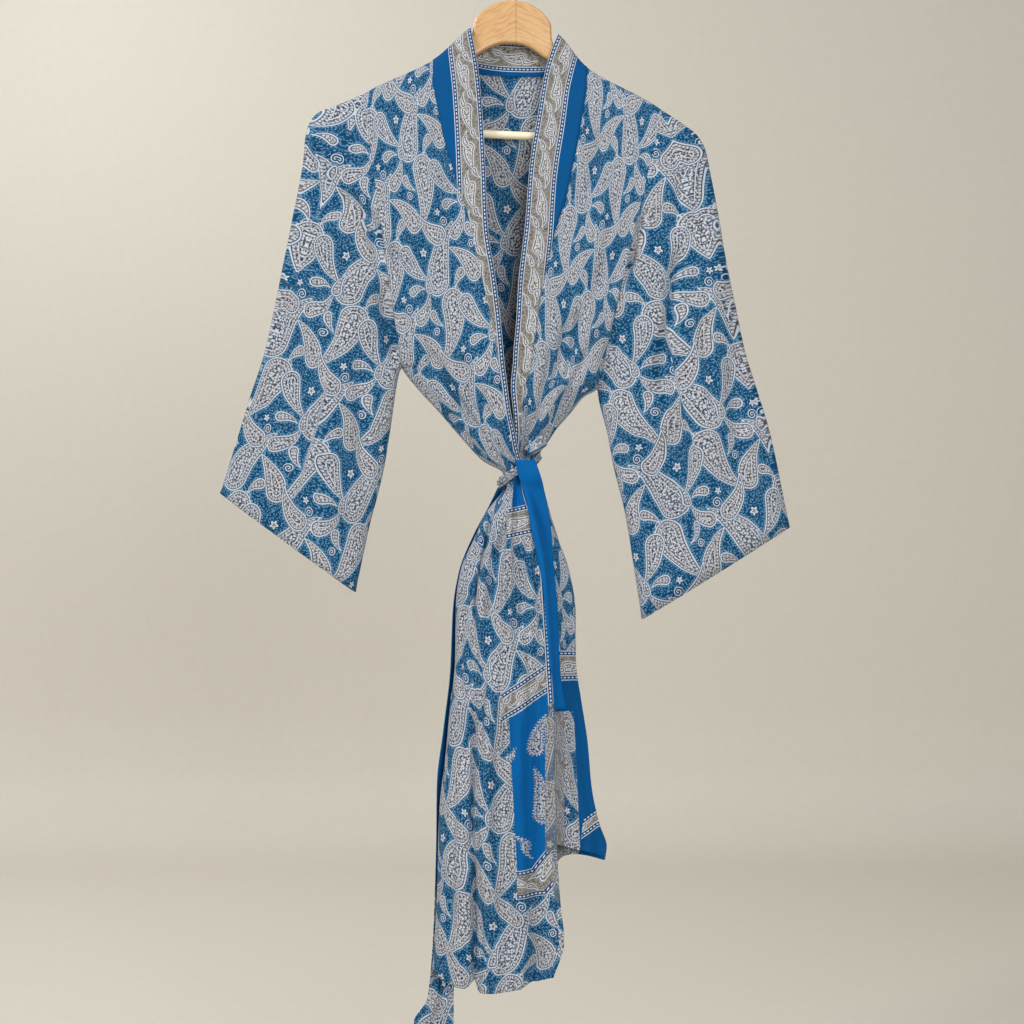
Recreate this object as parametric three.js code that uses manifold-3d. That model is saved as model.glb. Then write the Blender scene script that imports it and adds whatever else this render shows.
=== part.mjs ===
// Kimono robe hanging on a wooden clothes hanger. Millimetres, +Z up, wearer faces -Y.
// Origin: the top of the inside of the hanger hook, where the rail bears.
import * as THREE from 'three';
import Module from 'manifold-3d';

const wasm = await Module();
wasm.setup();

// ---- driving sizes -------------------------------------------------------
const WALL = 1.2;            // cloth wall
const BAND_WALL = 1.6;       // neckband, folded double
const SEAM = 0.2;            // half the gap left at every seam
const WAIST_GAP = 0.6;       // half the gap between stretches, hidden by the belt
const ARMHOLE_DEPTH = 22;    // half depth of the armhole lens
const LENS_POWER = 0.6;      // how blunt the lens ends are
const PANEL_ROUND = 2.3;     // roundness of the body section
const COLLAR_STAND = 10.6;   // dip of the shoulder line at the neck seam, right
const COLLAR_STAND_LEFT = 14;
const FRONT_COLUMNS = 15;
const SHOULDER_COLUMNS = 6;   // back panel, each side of the neck
const SLEEVE_COLUMNS = 32;
const BAND_COLUMNS = 2;
const BELT_WALL = 1.6;
const HANGER_TILT = 2.7;     // degrees, wearer's left arm lower
const HEAD_SHIFT = 0.2;      // wooden head beside the hook seat
const HANGER_THICK = 11.5;
const HEAD_DROP = 60.9;       // hook seat to the top of the wooden head
const BAR_DIAMETER = 9.4;
const BAR_HALF = 211;         // half length, ends in blind sockets
const WIRE_DIAMETER = 3.6;
const HOOK_INSIDE = 24;

// ---- upper body: one row per turn of the armhole ring ---------------------
// rx, rz and lx, lz = free edge of the neckband on each side; rBand, lBand = its
// width; depth = how far the edge lies in front of the hanger.
const UPPER = [
  { turn: 0, rx: -53.1, rz: -92.7, rBand: 43.7, lx: 49.2, lz: -100.3, lBand: 33.4, depth: 0 },
  { turn: 10, rx: -52.5, rz: -96.2, rBand: 43.6, lx: 48.4, lz: -103.9, lBand: 34.0, depth: 8 },
  { turn: 20, rx: -51.3, rz: -104.5, rBand: 44.8, lx: 45.4, lz: -111.6, lBand: 36.6, depth: 10.5 },
  { turn: 40, rx: -44.8, rz: -142.2, rBand: 49.6, lx: 34.8, lz: -144.6, lBand: 45.4, depth: 13 },
  { turn: 60, rx: -39.5, rz: -195.3, rBand: 46.0, lx: 25.4, lz: -198.9, lBand: 46.6, depth: 17 },
  { turn: 80, rx: -36.0, rz: -257.9, rBand: 34.2, lx: 15.9, lz: -260.2, lBand: 44.3, depth: 22 },
  { turn: 100, rx: -33.0, rz: -329.9, rBand: 17.7, lx: 10.6, lz: -328.7, lBand: 31.9, depth: 27 },
  { turn: 120, rx: -23.6, rz: -393.6, rBand: 14.2, lx: 2.9, lz: -394.8, lBand: 26.0, depth: 31 },
  { turn: 140, rx: -17.7, rz: -443.1, rBand: 8.5, lx: 0.0, lz: -445.5, lBand: 21.8, depth: 33 },
  { turn: 160, rx: -14.8, rz: -475.0, rBand: 6.5, lx: -2.9, lz: -476.2, lBand: 20.1, depth: 34 },
  { turn: 180, rx: -13.6, rz: -489.2, rBand: 6.0, lx: -3.5, lz: -490.3, lBand: 18.9, depth: 34 },
];

// ---- lower body: one row per section, armpit to hem -----------------------
// sR, sL = side seams; eR, eL = free edges; n = where the left front stands out
// furthest; r = its return behind; front, back = depths of the section; under =
// how far the left front lies behind the right one; edge = share of the depth
// kept at the right free edge; band, bandL = width of the neckband.
const LOWER = [
  { at: 'chest', sRx: -113.5, sRz: -521.7, eRx: -10.0, eRz: -517.5, eLx: -5.9, eLz: -517.5,
    sLx: 80.2, sLz: -528.1, front: 34, back: 33, under: 0.5, edge: 1, band: 5.5, bandL: 15 },
  { at: 'rib', sRx: -90.0, sRz: -547.0, eRx: -6.5, eRz: -545.8, eLx: -3.5, eLz: -545.8,
    sLx: 64.4, sLz: -547.0, front: 33, back: 31, under: 2.5, edge: 1, band: 5, bandL: 9 },
  { at: 'blouse', sRx: -59.4, sRz: -582.4, eRx: -1.2, eRz: -571.8, eLx: -1.8, eLz: -569.4,
    sLx: 47.2, sLz: -567.0, front: 29, back: 27, under: 4.5, edge: 0.98, band: 5, bandL: 6 },
  { at: 'aboveBelt', sRx: -37.8, sRz: -604.8, eRx: 2.4, eRz: -590.6, eLx: -2.9, eLz: -588.3,
    sLx: 35.6, sLz: -583.6, front: 24, back: 23, under: 4.8, edge: 0.97, band: 5, bandL: 5 },
  { at: 'beltTop', sRx: -16.0, sRz: -617.0, eRx: 5.3, eRz: -603.2, eLx: -4.1, eLz: -600.8,
    sLx: 24.5, sLz: -590.5, front: 20.5, back: 20.5, under: 4.8, edge: 0.96, band: 5, bandL: 5 },
  { at: 'belt', sRx: -15.0, sRz: -627.2, eRx: 7.1, eRz: -611.9, eLx: -4.1, eLz: -609.5,
    sLx: 24.0, sLz: -600.1, front: 20, back: 20, under: 5, edge: 0.95, band: 5, bandL: 5 },
  { at: 'beltFoot', sRx: -15.5, sRz: -638.0, eRx: 9.4, eRz: -622.0, eLx: -4.1, eLz: -619.6,
    sLx: 24.5, sLz: -610.5, front: 20.5, back: 20.5, under: 5, edge: 0.94, band: 5, bandL: 5 },
  { at: 'underBelt', sRx: -26.0, sRz: -652.0, eRx: 13.0, eRz: -640.8, eLx: -2.4, eLz: -638.5,
    sLx: 31.9, sLz: -632.8, nx: 25, nz: -634, ny: 13, rx: 30, rz: -633, ry: 5,
    front: 26, back: 24, under: 5.5, edge: 0.92, band: 5, bandL: 5 },
  { at: 'flare', sRx: -36.8, sRz: -666.2, eRx: 18.9, eRz: -660.3, eLx: 2.4, eLz: -659.1,
    sLx: 37.8, sLz: -655.5, nx: 31, nz: -657, ny: 18, rx: 36, rz: -656, ry: 7,
    front: 34, back: 31, under: 6.5, edge: 0.9, band: 5, bandL: 5 },
  { at: 'hipTop', sRx: -49.6, sRz: -695.7, eRx: 27.1, eRz: -692.1, eLx: 11.8, eLz: -692.1,
    sLx: 47.2, sLz: -689.8, nx: 43, nz: -691, ny: 22, rx: 48, rz: -690.5, ry: 9,
    front: 42, back: 39, under: 7.5, edge: 0.88, band: 5.5, bandL: 5.5 },
  { at: 'hip', sRx: -64.9, sRz: -729.9, eRx: 33.0, eRz: -729.9, eLx: 18.9, eLz: -729.9,
    sLx: 56.6, sLz: -729.9, nx: 59, nz: -729.9, ny: 22, rx: 59, rz: -729.9, ry: 9,
    front: 47, back: 45, under: 8, edge: 0.86, band: 6, bandL: 6 },
  { at: 'seat', sRx: -71.4, sRz: -779.4, eRx: 36.6, eRz: -779.4, eLx: 23.6, eLz: -779.4,
    sLx: 61.7, sLz: -779.4, nx: 67, nz: -779.4, ny: 23, rx: 66, rz: -779.4, ry: 9,
    front: 51, back: 49, under: 8.5, edge: 0.86, band: 6, bandL: 6 },
  { at: 'thigh', sRx: -72.0, sRz: -838.4, eRx: 40.1, eRz: -838.4, eLx: 28.3, eLz: -832.5,
    sLx: 58.4, sLz: -838.4, nx: 68.4, nz: -833, ny: 24, rx: 62, rz: -836, ry: 9,
    front: 54, back: 52, under: 9, edge: 0.86, band: 6, bandL: 6 },
  { at: 'mid', sRx: -77.9, sRz: -891.5, eRx: 43.1, eRz: -891.5, eLx: 34.2, eLz: -873.8,
    sLx: 49.9, sLz: -891.5, nx: 75.5, nz: -882, ny: 26, rx: 57, rz: -886, ry: 9,
    front: 55, back: 54, under: 9, edge: 0.86, band: 6, bandL: 6 },
  { at: 'knee', sRx: -82.6, sRz: -944.6, eRx: 43.7, eRz: -944.6, eLx: 35.0, eLz: -911.6,
    sLx: 45.2, sLz: -944.6, nx: 83, nz: -930, ny: 27, rx: 56, rz: -934, ry: 9,
    front: 55, back: 55, under: 9, edge: 0.86, band: 6, bandL: 6 },
  { at: 'shin', sRx: -90.9, sRz: -1021.0, eRx: 45.7, eRz: -1021.0, eLx: 35.5, eLz: -960.0,
    sLx: 40.2, sLz: -1021.0, nx: 88, nz: -984, ny: 27, rx: 54, rz: -990, ry: 9,
    front: 55, back: 55, under: 9, edge: 0.86, band: 6, bandL: 6 },
  { at: 'calf', sRx: -93.2, sRz: -1110.0, eRx: 50.6, eRz: -1108.0, eLx: 36.0, eLz: -1008.0,
    sLx: 36.6, sLz: -1106.0, nx: 97, nz: -1026, ny: 28, rx: 52, rz: -1034, ry: 9,
    front: 55, back: 56, under: 9, edge: 0.86, band: 6, bandL: 6 },
  { at: 'low', sRx: -96.2, sRz: -1165.0, eRx: 55.5, eRz: -1158.0, eLx: 36.5, eLz: -1032.0,
    sLx: 35.4, sLz: -1162.9, nx: 105.5, nz: -1052, ny: 28, rx: 50, rz: -1058, ry: 9,
    front: 55, back: 56, under: 9, edge: 0.86, band: 6, bandL: 6 },
  { at: 'hem', sRx: -98.5, sRz: -1204.0, eRx: 43.0, eRz: -1200.0, eLx: 37.0, eLz: -1045.0,
    sLx: 34.2, sLz: -1211.3, nx: 103, nz: -1068, ny: 28, rx: 48, rz: -1076, ry: 9,
    front: 56, back: 57, under: 9, edge: 0.86, band: 6, bandL: 6 },
];

// ---- gathers and folds: a row per fold ------------------------------------
// Place across the panel (0 side seam, 1 free edge) and depth at each level:
// armpit, rib, belt, hip, knee and hem; below zero is a trough.
const LEVELS = [-500, -560, -614, -730, -945, -1217];
const FOLDS_RIGHT = [
  { half: 0.075, across: [0.10, 0.10, 0.12, 0.15, 0.12, 0.12], depth: [0, -2.2, -2, -6, -3, -4] },
  { half: 0.075, across: [0.20, 0.22, 0.24, 0.27, 0.24, 0.33], depth: [0, 2.0, 1.2, 3, -9, -10] },
  { half: 0.085, across: [0.34, 0.36, 0.38, 0.42, 0.40, 0.46], depth: [0, -3.0, -2, -6, 4, 4] },
  { half: 0.075, across: [0.48, 0.50, 0.52, 0.56, 0.56, 0.58], depth: [0, 2.4, 1.2, 4, -6, -5] },
  { half: 0.085, across: [0.60, 0.64, 0.66, 0.70, 0.70, 0.70], depth: [0, -2.6, -2, -5, 4, 4] },
  { half: 0.075, across: [0.78, 0.78, 0.80, 0.83, 0.84, 0.82], depth: [0, -1.2, -1, 2, -4, -6] },
];
const FOLDS_LEFT = [
  { half: 0.11, across: [0.18, 0.18, 0.20, 0.20, 0.20, 0.20], depth: [0, -2.2, -1.6, -3, -4, -5] },
  { half: 0.12, across: [0.40, 0.42, 0.42, 0.34, 0.34, 0.34], depth: [0, 2.2, 1.0, 0, -3, -6] },
  { half: 0.12, across: [0.62, 0.62, 0.62, 0.70, 0.68, 0.66], depth: [0, -2.4, -1.6, -2, -5, -7] },
];
const FOLDS_BACK = [
  { half: 0.045, across: [0.12, 0.13, 0.14, 0.13, 0.12, 0.12], depth: [0, -2.6, -2, -6, -7, -8] },
  { half: 0.050, across: [0.26, 0.27, 0.28, 0.27, 0.27, 0.26], depth: [0, -3.0, -2, -7, -9, -9] },
  { half: 0.050, across: [0.40, 0.41, 0.42, 0.41, 0.42, 0.42], depth: [0, -2.6, -2, -6, -8, -10] },
  { half: 0.050, across: [0.55, 0.56, 0.56, 0.56, 0.57, 0.58], depth: [0, -3.2, -2, -7, -10, -9] },
  { half: 0.050, across: [0.70, 0.70, 0.70, 0.71, 0.71, 0.72], depth: [0, -2.6, -2, -6, -8, -10] },
  { half: 0.045, across: [0.85, 0.84, 0.83, 0.85, 0.86, 0.86], depth: [0, -2.4, -2, -6, -7, -7] },
];

// ---- long drag creases of the blouse, as lines on the front view -----------
const CREASES = [
  { x0: -238, z0: -230, x1: -204, z1: -326, half: 13, depth: 3.5 },
  { x0: -204, z0: -286, x1: -136, z1: -374, half: 14, depth: 5 },
  { x0: -138, z0: -372, x1: -88, z1: -460, half: 12, depth: 5 },
  { x0: -66, z0: -483, x1: -34, z1: -553, half: 9, depth: 4 },
  { x0: -160, z0: -402, x1: -140, z1: -480, half: 12, depth: 4 },
  { x0: -120, z0: -200, x1: -96, z1: -330, half: 18, depth: -3.5 },
  { x0: 74, z0: -428, x1: 50, z1: -508, half: 10, depth: 4 },
  { x0: 149, z0: -311, x1: 112, z1: -410, half: 14, depth: 4.5 },
  { x0: 190, z0: -356, x1: 172, z1: -545, half: 13, depth: 4.5 },
  { x0: 176, z0: -560, x1: 206, z1: -700, half: 12, depth: 4 },
  { x0: 230, z0: -300, x1: 226, z1: -620, half: 20, depth: -4 },
  { x0: -270, z0: -440, x1: -250, z1: -640, half: 20, depth: 4 },
  { x0: -210, z0: -470, x1: -216, z1: -690, half: 18, depth: -3.5 },
];

// ---- sleeves: a row per section, armhole to cuff ---------------------------
const SLEEVE_RIGHT = [
  { outX: -179.4, outZ: -171.1, inX: -134.5, inZ: -493.9, half: 22 },
  { outX: -210.0, outZ: -184.1, inX: -136.3, inZ: -496.2, half: 22 },
  { outX: -236.0, outZ: -195.3, inX: -137.7, inZ: -499.8, half: 21 },
  { outX: -247.2, outZ: -216.6, inX: -139.2, inZ: -505.7, half: 21 },
  { outX: -251.3, outZ: -254.3, inX: -141.0, inZ: -515.1, half: 21 },
  { outX: -260.2, outZ: -301.5, inX: -143.4, inZ: -531.6, half: 21 },
  { outX: -271.4, outZ: -357.0, inX: -146.3, inZ: -552.9, half: 21 },
  { outX: -283.2, outZ: -416.0, inX: -149.9, inZ: -576.5, half: 20 },
  { outX: -296.8, outZ: -477.4, inX: -154.6, inZ: -606.0, half: 20 },
  { outX: -313.9, outZ: -529.3, inX: -162.2, inZ: -640.2, half: 19 },
  { outX: -329.2, outZ: -580.0, inX: -171.7, inZ: -675.6, half: 19 },
  { outX: -348.7, outZ: -641.4, inX: -189.4, inZ: -758.2, half: 18 },
];
const SLEEVE_LEFT = [
  { outX: 171.8, outZ: -190.3, inX: 95.6, inZ: -518.7, half: 22 },
  { outX: 195.9, outZ: -206.0, inX: 95.9, inZ: -519.8, half: 22 },
  { outX: 213.6, outZ: -220.1, inX: 96.3, inZ: -521.6, half: 21 },
  { outX: 223.0, outZ: -236.6, inX: 96.8, inZ: -525.7, half: 21 },
  { outX: 230.1, outZ: -269.7, inX: 98.5, inZ: -535.2, half: 21 },
  { outX: 238.4, outZ: -313.3, inX: 101.5, inZ: -547.0, half: 21 },
  { outX: 247.8, outZ: -368.8, inX: 105.0, inZ: -560.0, half: 21 },
  { outX: 258.4, outZ: -419.5, inX: 108.6, inZ: -575.3, half: 20 },
  { outX: 270.2, outZ: -475.0, inX: 113.3, inZ: -602.4, half: 20 },
  { outX: 284.4, outZ: -521.0, inX: 119.8, inZ: -629.6, half: 19 },
  { outX: 298.5, outZ: -567.0, inX: 127.4, inZ: -659.1, half: 19 },
  { outX: 322.5, outZ: -681.5, inX: 148.7, inZ: -790.1, half: 18 },
];

// ---- neck at the back: seam and free edge, right ridge to left ridge -------
const BACK_NECK = [
  { seamX: -95.8, seamZ: -134.2, freeX: -51.9, freeZ: -96.2, y: 8 },
  { seamX: -90.0, seamZ: -137.0, freeX: -49.6, freeZ: -102.1, y: 9.5 },
  { seamX: -48.0, seamZ: -143.5, freeX: -28.0, freeZ: -106.0, y: 10 },
  { seamX: -4.7, seamZ: -147.0, freeX: -3.5, freeZ: -106.8, y: 10 },
  { seamX: 38.0, seamZ: -146.5, freeX: 24.0, freeZ: -108.5, y: 10 },
  { seamX: 76.6, seamZ: -142.0, freeX: 47.2, freeZ: -109.2, y: 9.5 },
  { seamX: 81.6, seamZ: -140.0, freeX: 49.0, freeZ: -103.9, y: 8 },
];

// ---- belt tails ------------------------------------------------------------
const TAIL_FRONT = [
  { left: -2.0, right: 22.0, z: -603 },
  { left: 4.1, right: 30.1, z: -626 },
  { left: 11.8, right: 35.4, z: -650 },
  { left: 17.1, right: 40.7, z: -682 },
  { left: 23.6, right: 43.1, z: -713 },
  { left: 29.5, right: 45.4, z: -742 },
  { left: 34.2, right: 49.0, z: -785 },
  { left: 37.8, right: 50.4, z: -831 },
  { left: 42.5, right: 53.0, z: -864 },
  { left: 44.5, right: 58.0, z: -892 },
];
const TAIL_SIDE = [
  { left: -18, right: 6, z: -628 },
  { left: -34, right: -8, z: -660 },
  { left: -50, right: -24, z: -690 },
  { left: -68, right: -42, z: -735 },
  { left: -75, right: -48, z: -780 },
  { left: -78, right: -51, z: -850 },
  { left: -86, right: -60, z: -920 },
  { left: -94, right: -68, z: -990 },
  { left: -95, right: -68, z: -1060 },
  { left: -97, right: -70, z: -1130 },
  { left: -100, right: -73, z: -1190 },
  { left: -105, right: -74, z: -1240 },
  { left: -121, right: -74, z: -1268 },
  { left: -120, right: -76, z: -1292 },
];

// ---- hanger outline, wearer's left half, below the head top ----------------
const ARM_TOP = [
  { x: 0, z: 0 }, { x: 16, z: -2.4 }, { x: 30, z: -9.2 }, { x: 40.3, z: -18.6 },
  { x: 45.6, z: -27.5 }, { x: 46.2, z: -36 }, { x: 47.4, z: -45 }, { x: 50.5, z: -52.5 },
  { x: 57, z: -59.5 }, { x: 65, z: -65.4 }, { x: 78, z: -72.2 }, { x: 210, z: -142.6 },
  { x: 214, z: -146.5 }, { x: 215.5, z: -154 },
];
const ARM_UNDER = [
  { x: 214, z: -165 }, { x: 209, z: -169.5 }, { x: 201, z: -169.5 }, { x: 194, z: -162.5 },
  { x: 184, z: -153.5 }, { x: 80, z: -92.5 }, { x: 40, z: -66.5 }, { x: 20, z: -54 },
  { x: 0, z: -50.5 },
];

// ---- colours ---------------------------------------------------------------
const CLOTH = { color: 0x6f87a0, roughness: 0.7, metalness: 0 };
const BAND = { color: 0x8e8f8d, roughness: 0.7, metalness: 0 };
const BLUE = { color: 0x0c5a9a, roughness: 0.65, metalness: 0 };
const PRINT = { color: 0x8b8f9c, roughness: 0.7, metalness: 0 };
const WOOD = { color: 0xe0b681, roughness: 0.55, metalness: 0 };
const STEEL = { color: 0xc9ccd0, roughness: 0.25, metalness: 1 };

// ---- small helpers ----------------------------------------------------------
const vec = (x, y, z) => new THREE.Vector3(x, y, z);
const mix = (a, b, t) => a + (b - a) * t;
const clamp = (t) => Math.min(1, Math.max(0, t));
const smooth = (t) => clamp(t) * clamp(t) * (3 - 2 * clamp(t));
const radians = (degrees) => (degrees * Math.PI) / 180;
const lens = (turn) => Math.pow(Math.abs(Math.sin(radians(turn))), LENS_POWER);
const drop = (turn) => (1 - Math.cos(radians(turn))) / 2;
const round = (t) => Math.pow(Math.max(0, 1 - Math.pow(clamp(1 - t), PANEL_ROUND)), 1 / PANEL_ROUND);

function levelValue(values, z) {
  if (z >= LEVELS[0]) return values[0];
  for (let i = 1; i < LEVELS.length; i += 1) {
    if (z >= LEVELS[i]) {
      const t = (z - LEVELS[i - 1]) / (LEVELS[i] - LEVELS[i - 1]);
      return mix(values[i - 1], values[i], smooth(t));
    }
  }
  return values[values.length - 1];
}

// Hem of the right front: how far it dips below the straight line.
const HEM_WAVE = [
  { across: 0, dip: -4 }, { across: 0.12, dip: 6 }, { across: 0.27, dip: 10 },
  { across: 0.335, dip: 2 }, { across: 0.4, dip: 13 }, { across: 0.55, dip: 15 },
  { across: 0.7, dip: 11 }, { across: 0.85, dip: 4 }, { across: 1, dip: 0 },
];

function hemDip(across) {
  let i = 1;
  while (i < HEM_WAVE.length - 1 && HEM_WAVE[i].across < across) i += 1;
  const a = HEM_WAVE[i - 1];
  const b = HEM_WAVE[i];
  return mix(a.dip, b.dip, smooth((across - a.across) / (b.across - a.across)));
}

function foldDepth(folds, across, z) {
  let sum = 0;
  for (const fold of folds) {
    const away = Math.abs(across - levelValue(fold.across, z)) / (fold.half * 1.5);
    if (away < 1) sum += levelValue(fold.depth, z) * Math.cos((away * Math.PI) / 2) ** 2;
  }
  return sum * smooth(across / 0.07) * smooth((1 - across) / 0.07);
}

function creaseDepth(x, z) {
  let sum = 0;
  for (const c of CREASES) {
    const dx = c.x1 - c.x0;
    const dz = c.z1 - c.z0;
    const t = clamp(((x - c.x0) * dx + (z - c.z0) * dz) / (dx * dx + dz * dz));
    const away = Math.hypot(x - c.x0 - t * dx, z - c.z0 - t * dz) / c.half;
    sum += c.depth * Math.exp(-away * away) * smooth(4 * t + 0.3) * smooth(4 * (1 - t) + 0.3);
  }
  return sum;
}

// ---- body sections ------------------------------------------------------------
function upperRow(row) {
  const w = drop(row.turn);
  const right = SLEEVE_RIGHT[0];
  const left = SLEEVE_LEFT[0];
  return {
    turn: row.turn,
    upper: true,
    sRx: mix(right.outX, right.inX, w), sRz: mix(right.outZ, right.inZ, w),
    sLx: mix(left.outX, left.inX, w), sLz: mix(left.outZ, left.inZ, w),
    eRx: row.rx, eRz: row.rz, eLx: row.lx, eLz: row.lz,
    side: ARMHOLE_DEPTH * lens(row.turn),
    front: row.depth, back: row.depth * 0.97, under: 0, edge: 1,
    band: row.rBand, bandL: row.lBand,
    stand: 1 - smooth(row.turn / 60),
  };
}

const ROWS = [...UPPER.map(upperRow), ...LOWER.map((row) => ({ ...row, side: 0, stand: 0 }))];
const WAIST_ROW = ROWS.findIndex((row) => row.at === 'belt');

function sideFade(row, across) {
  return row.upper ? smooth(across / 0.12) : smooth(across / 0.2);
}

function seamShare(row, hand) {
  if (hand === 'R') return 1 - row.band / (row.eRx - row.sRx + (row.upper ? 0 : row.front * 0.3));
  const width = row.nx === undefined ? row.sLx - row.eLx : 2 * row.nx - row.sLx - row.eLx + 14;
  return 1 - row.bandL / width;
}

function seamAcross(pointOf, row, seam) {
  return pointOf(row, seam + 0.01).clone().sub(pointOf(row, seam - 0.01)).normalize();
}

function seamNormal(pointOf, hand, j) {
  const row = ROWS[j];
  const at = (n) => pointOf(ROWS[n], seamShare(ROWS[n], hand));
  const along = at(Math.min(ROWS.length - 1, j + 1)).sub(at(Math.max(0, j - 1)));
  return seamAcross(pointOf, row, seamShare(row, hand)).cross(along).normalize();
}

function standDip(row, across, seam, depth) {
  const t = across < seam ? across / seam : (1 - across) / (1 - seam);
  return depth * row.stand * smooth(t);
}

function pointRight(row, across) {
  const crest = row.edge < 1 ? 0.55 : 1;
  const x = mix(row.sRx, row.eRx, across);
  const rise = standDip(row, across, seamShare(row, 'R'), COLLAR_STAND);
  const hem = row.at === 'hem' ? hemDip(across) : 0;
  const z = mix(row.sRz, row.eRz, across) - rise - hem;
  const body = row.side + (row.front - row.side) * round(across / crest);
  const past = smooth((across - crest) / (1.0001 - crest));
  const depth = body - row.front * (1 - row.edge) * past;
  const fold = foldDepth(FOLDS_RIGHT, across, z);
  const crease = creaseDepth(x, z) * sideFade(row, across) * smooth((1 - across) / 0.2);
  const outward = clamp(0.35 + 1.2 * across);
  return vec(
    x - fold * (1 - outward) * (row.upper ? 0 : 1),
    -(depth + fold * outward - (row.turn === 0 ? 0 : crease)) - SEAM,
    z,
  );
}

function pointLeftPlain(row, across) {
  const x = mix(row.sLx, row.eLx, across);
  const rise = standDip(row, across, seamShare(row, 'L'), COLLAR_STAND_LEFT);
  const z = mix(row.sLz, row.eLz, across) - rise;
  const depth = row.side + (row.front - row.under - row.side) * round(across);
  const fold = foldDepth(FOLDS_LEFT, across, z);
  const crease = creaseDepth(x, z) * sideFade(row, across) * smooth((1 - across) / 0.2);
  return vec(x, -(depth + fold - (row.turn === 0 ? 0 : crease)) - SEAM, z);
}

// Smooth line through four controls at 0, 0.3, 0.6 and 1.
function through(across, values) {
  const at = [0, 0.3, 0.6, 1];
  const i = across < at[1] ? 0 : across < at[2] ? 1 : 2;
  const slope = (n) => {
    if (n === 0) return (values[1] - values[0]) / 0.3;
    if (n === 3) return (values[3] - values[2]) / 0.4;
    return (values[n + 1] - values[n - 1]) / (at[n + 1] - at[n - 1]);
  };
  const span = at[i + 1] - at[i];
  const t = (across - at[i]) / span;
  const t2 = t * t;
  const t3 = t2 * t;
  return (2 * t3 - 3 * t2 + 1) * values[i] + (t3 - 2 * t2 + t) * span * slope(i)
    + (3 * t2 - 2 * t3) * values[i + 1] + (t3 - t2) * span * slope(i + 1);
}

function pointLeftNose(row, across) {
  const edgeY = row.front * row.edge - row.under;
  const x = through(across, [row.sLx, row.rx, row.nx, row.eLx]);
  const z = through(across, [row.sLz, row.rz, row.nz, row.eLz]);
  const y = through(across, [0, row.ry, row.ny, edgeY]);
  const fold = foldDepth(FOLDS_LEFT, across, z) * smooth((across - 0.58) * 8);
  return vec(x, -(y + fold) - SEAM, z);
}

function pointLeft(row, across) {
  if (row.nx === undefined) return pointLeftPlain(row, across);
  return pointLeftNose(row, across);
}

// Back: the top row follows shoulder, neck seam, shoulder.
function backTop(across) {
  const right = ROWS[0];
  const seamR = pointRight(right, seamShare(right, 'R'));
  const seamL = pointLeft(right, seamShare(right, 'L'));
  const x = mix(right.sRx, right.sLx, across);
  if (x <= seamR.x) {
    return vec(x, 0, pointRight(right, (x - right.sRx) / (right.eRx - right.sRx)).z);
  }
  if (x >= seamL.x) {
    return vec(x, 0, pointLeft(right, (x - right.sLx) / (right.eLx - right.sLx)).z);
  }
  const line = [
    { x: seamR.x, y: 0, z: seamR.z },
    ...BACK_NECK.map((n) => ({ x: n.seamX, y: n.y, z: n.seamZ })),
    { x: seamL.x, y: 0, z: seamL.z },
  ];
  let i = 1;
  while (i < line.length - 1 && line[i].x < x) i += 1;
  const t = (x - line[i - 1].x) / (line[i].x - line[i - 1].x);
  return vec(x, mix(line[i - 1].y, line[i].y, t), mix(line[i - 1].z, line[i].z, t) - 3 * SEAM);
}

function pointBack(row, across) {
  const fold = foldDepth(FOLDS_BACK, across, mix(row.sRz, row.sLz, across));
  const middle = round(1 - Math.abs(2 * across - 1));
  const x = mix(row.sRx, row.sLx, across);
  const straight = mix(row.sRz, row.sLz, across);
  const flat = row.side + (row.back - row.side) * middle;
  if (!row.upper) return vec(x, flat + fold + SEAM, straight);
  const w = drop(row.turn);
  const top = backTop(across);
  const foot = mix(SLEEVE_RIGHT[0].inZ, SLEEVE_LEFT[0].inZ, across);
  const z = mix(top.z, foot, w);
  const y = Math.hypot(top.y * (1 - w), flat);
  return vec(x, y + fold + SEAM, z);
}

// ---- sheet with a wall ----------------------------------------------------------
function normalsOf(grid, ring) {
  const last = grid.length - 1;
  const width = grid[0].length;
  return grid.map((line, j) => line.map((point, i) => {
    const before = ring ? line[(i + width - 1) % width] : line[Math.max(0, i - 1)];
    const after = ring ? line[(i + 1) % width] : line[Math.min(width - 1, i + 1)];
    const up = grid[Math.max(0, j - 1)][i];
    const down = grid[Math.min(last, j + 1)][i];
    return after.clone().sub(before).cross(down.clone().sub(up)).normalize();
  }));
}

function holdEdges(normals, hold) {
  const flatten = (n, along) => {
    if (along) n.addScaledVector(along, -n.dot(along)).normalize();
  };
  const last = normals.length - 1;
  const end = normals[0].length - 1;
  normals[0].forEach((n, i) => flatten(n, hold.first && hold.first(i)));
  normals[last].forEach((n, i) => flatten(n, hold.last && hold.last(i)));
  normals.forEach((line, j) => flatten(line[0], hold.start && hold.start(j)));
  normals.forEach((line, j) => flatten(line[end], hold.end && hold.end(j)));
  const copy = (n, other) => {
    if (other) n.copy(other.clone().multiplyScalar(Math.sign(other.dot(n))));
  };
  normals.forEach((line, j) => copy(line[end], hold.endNormal && hold.endNormal(j)));
  normals.forEach((line, j) => copy(line[0], hold.startNormal && hold.startNormal(j)));
}

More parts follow.
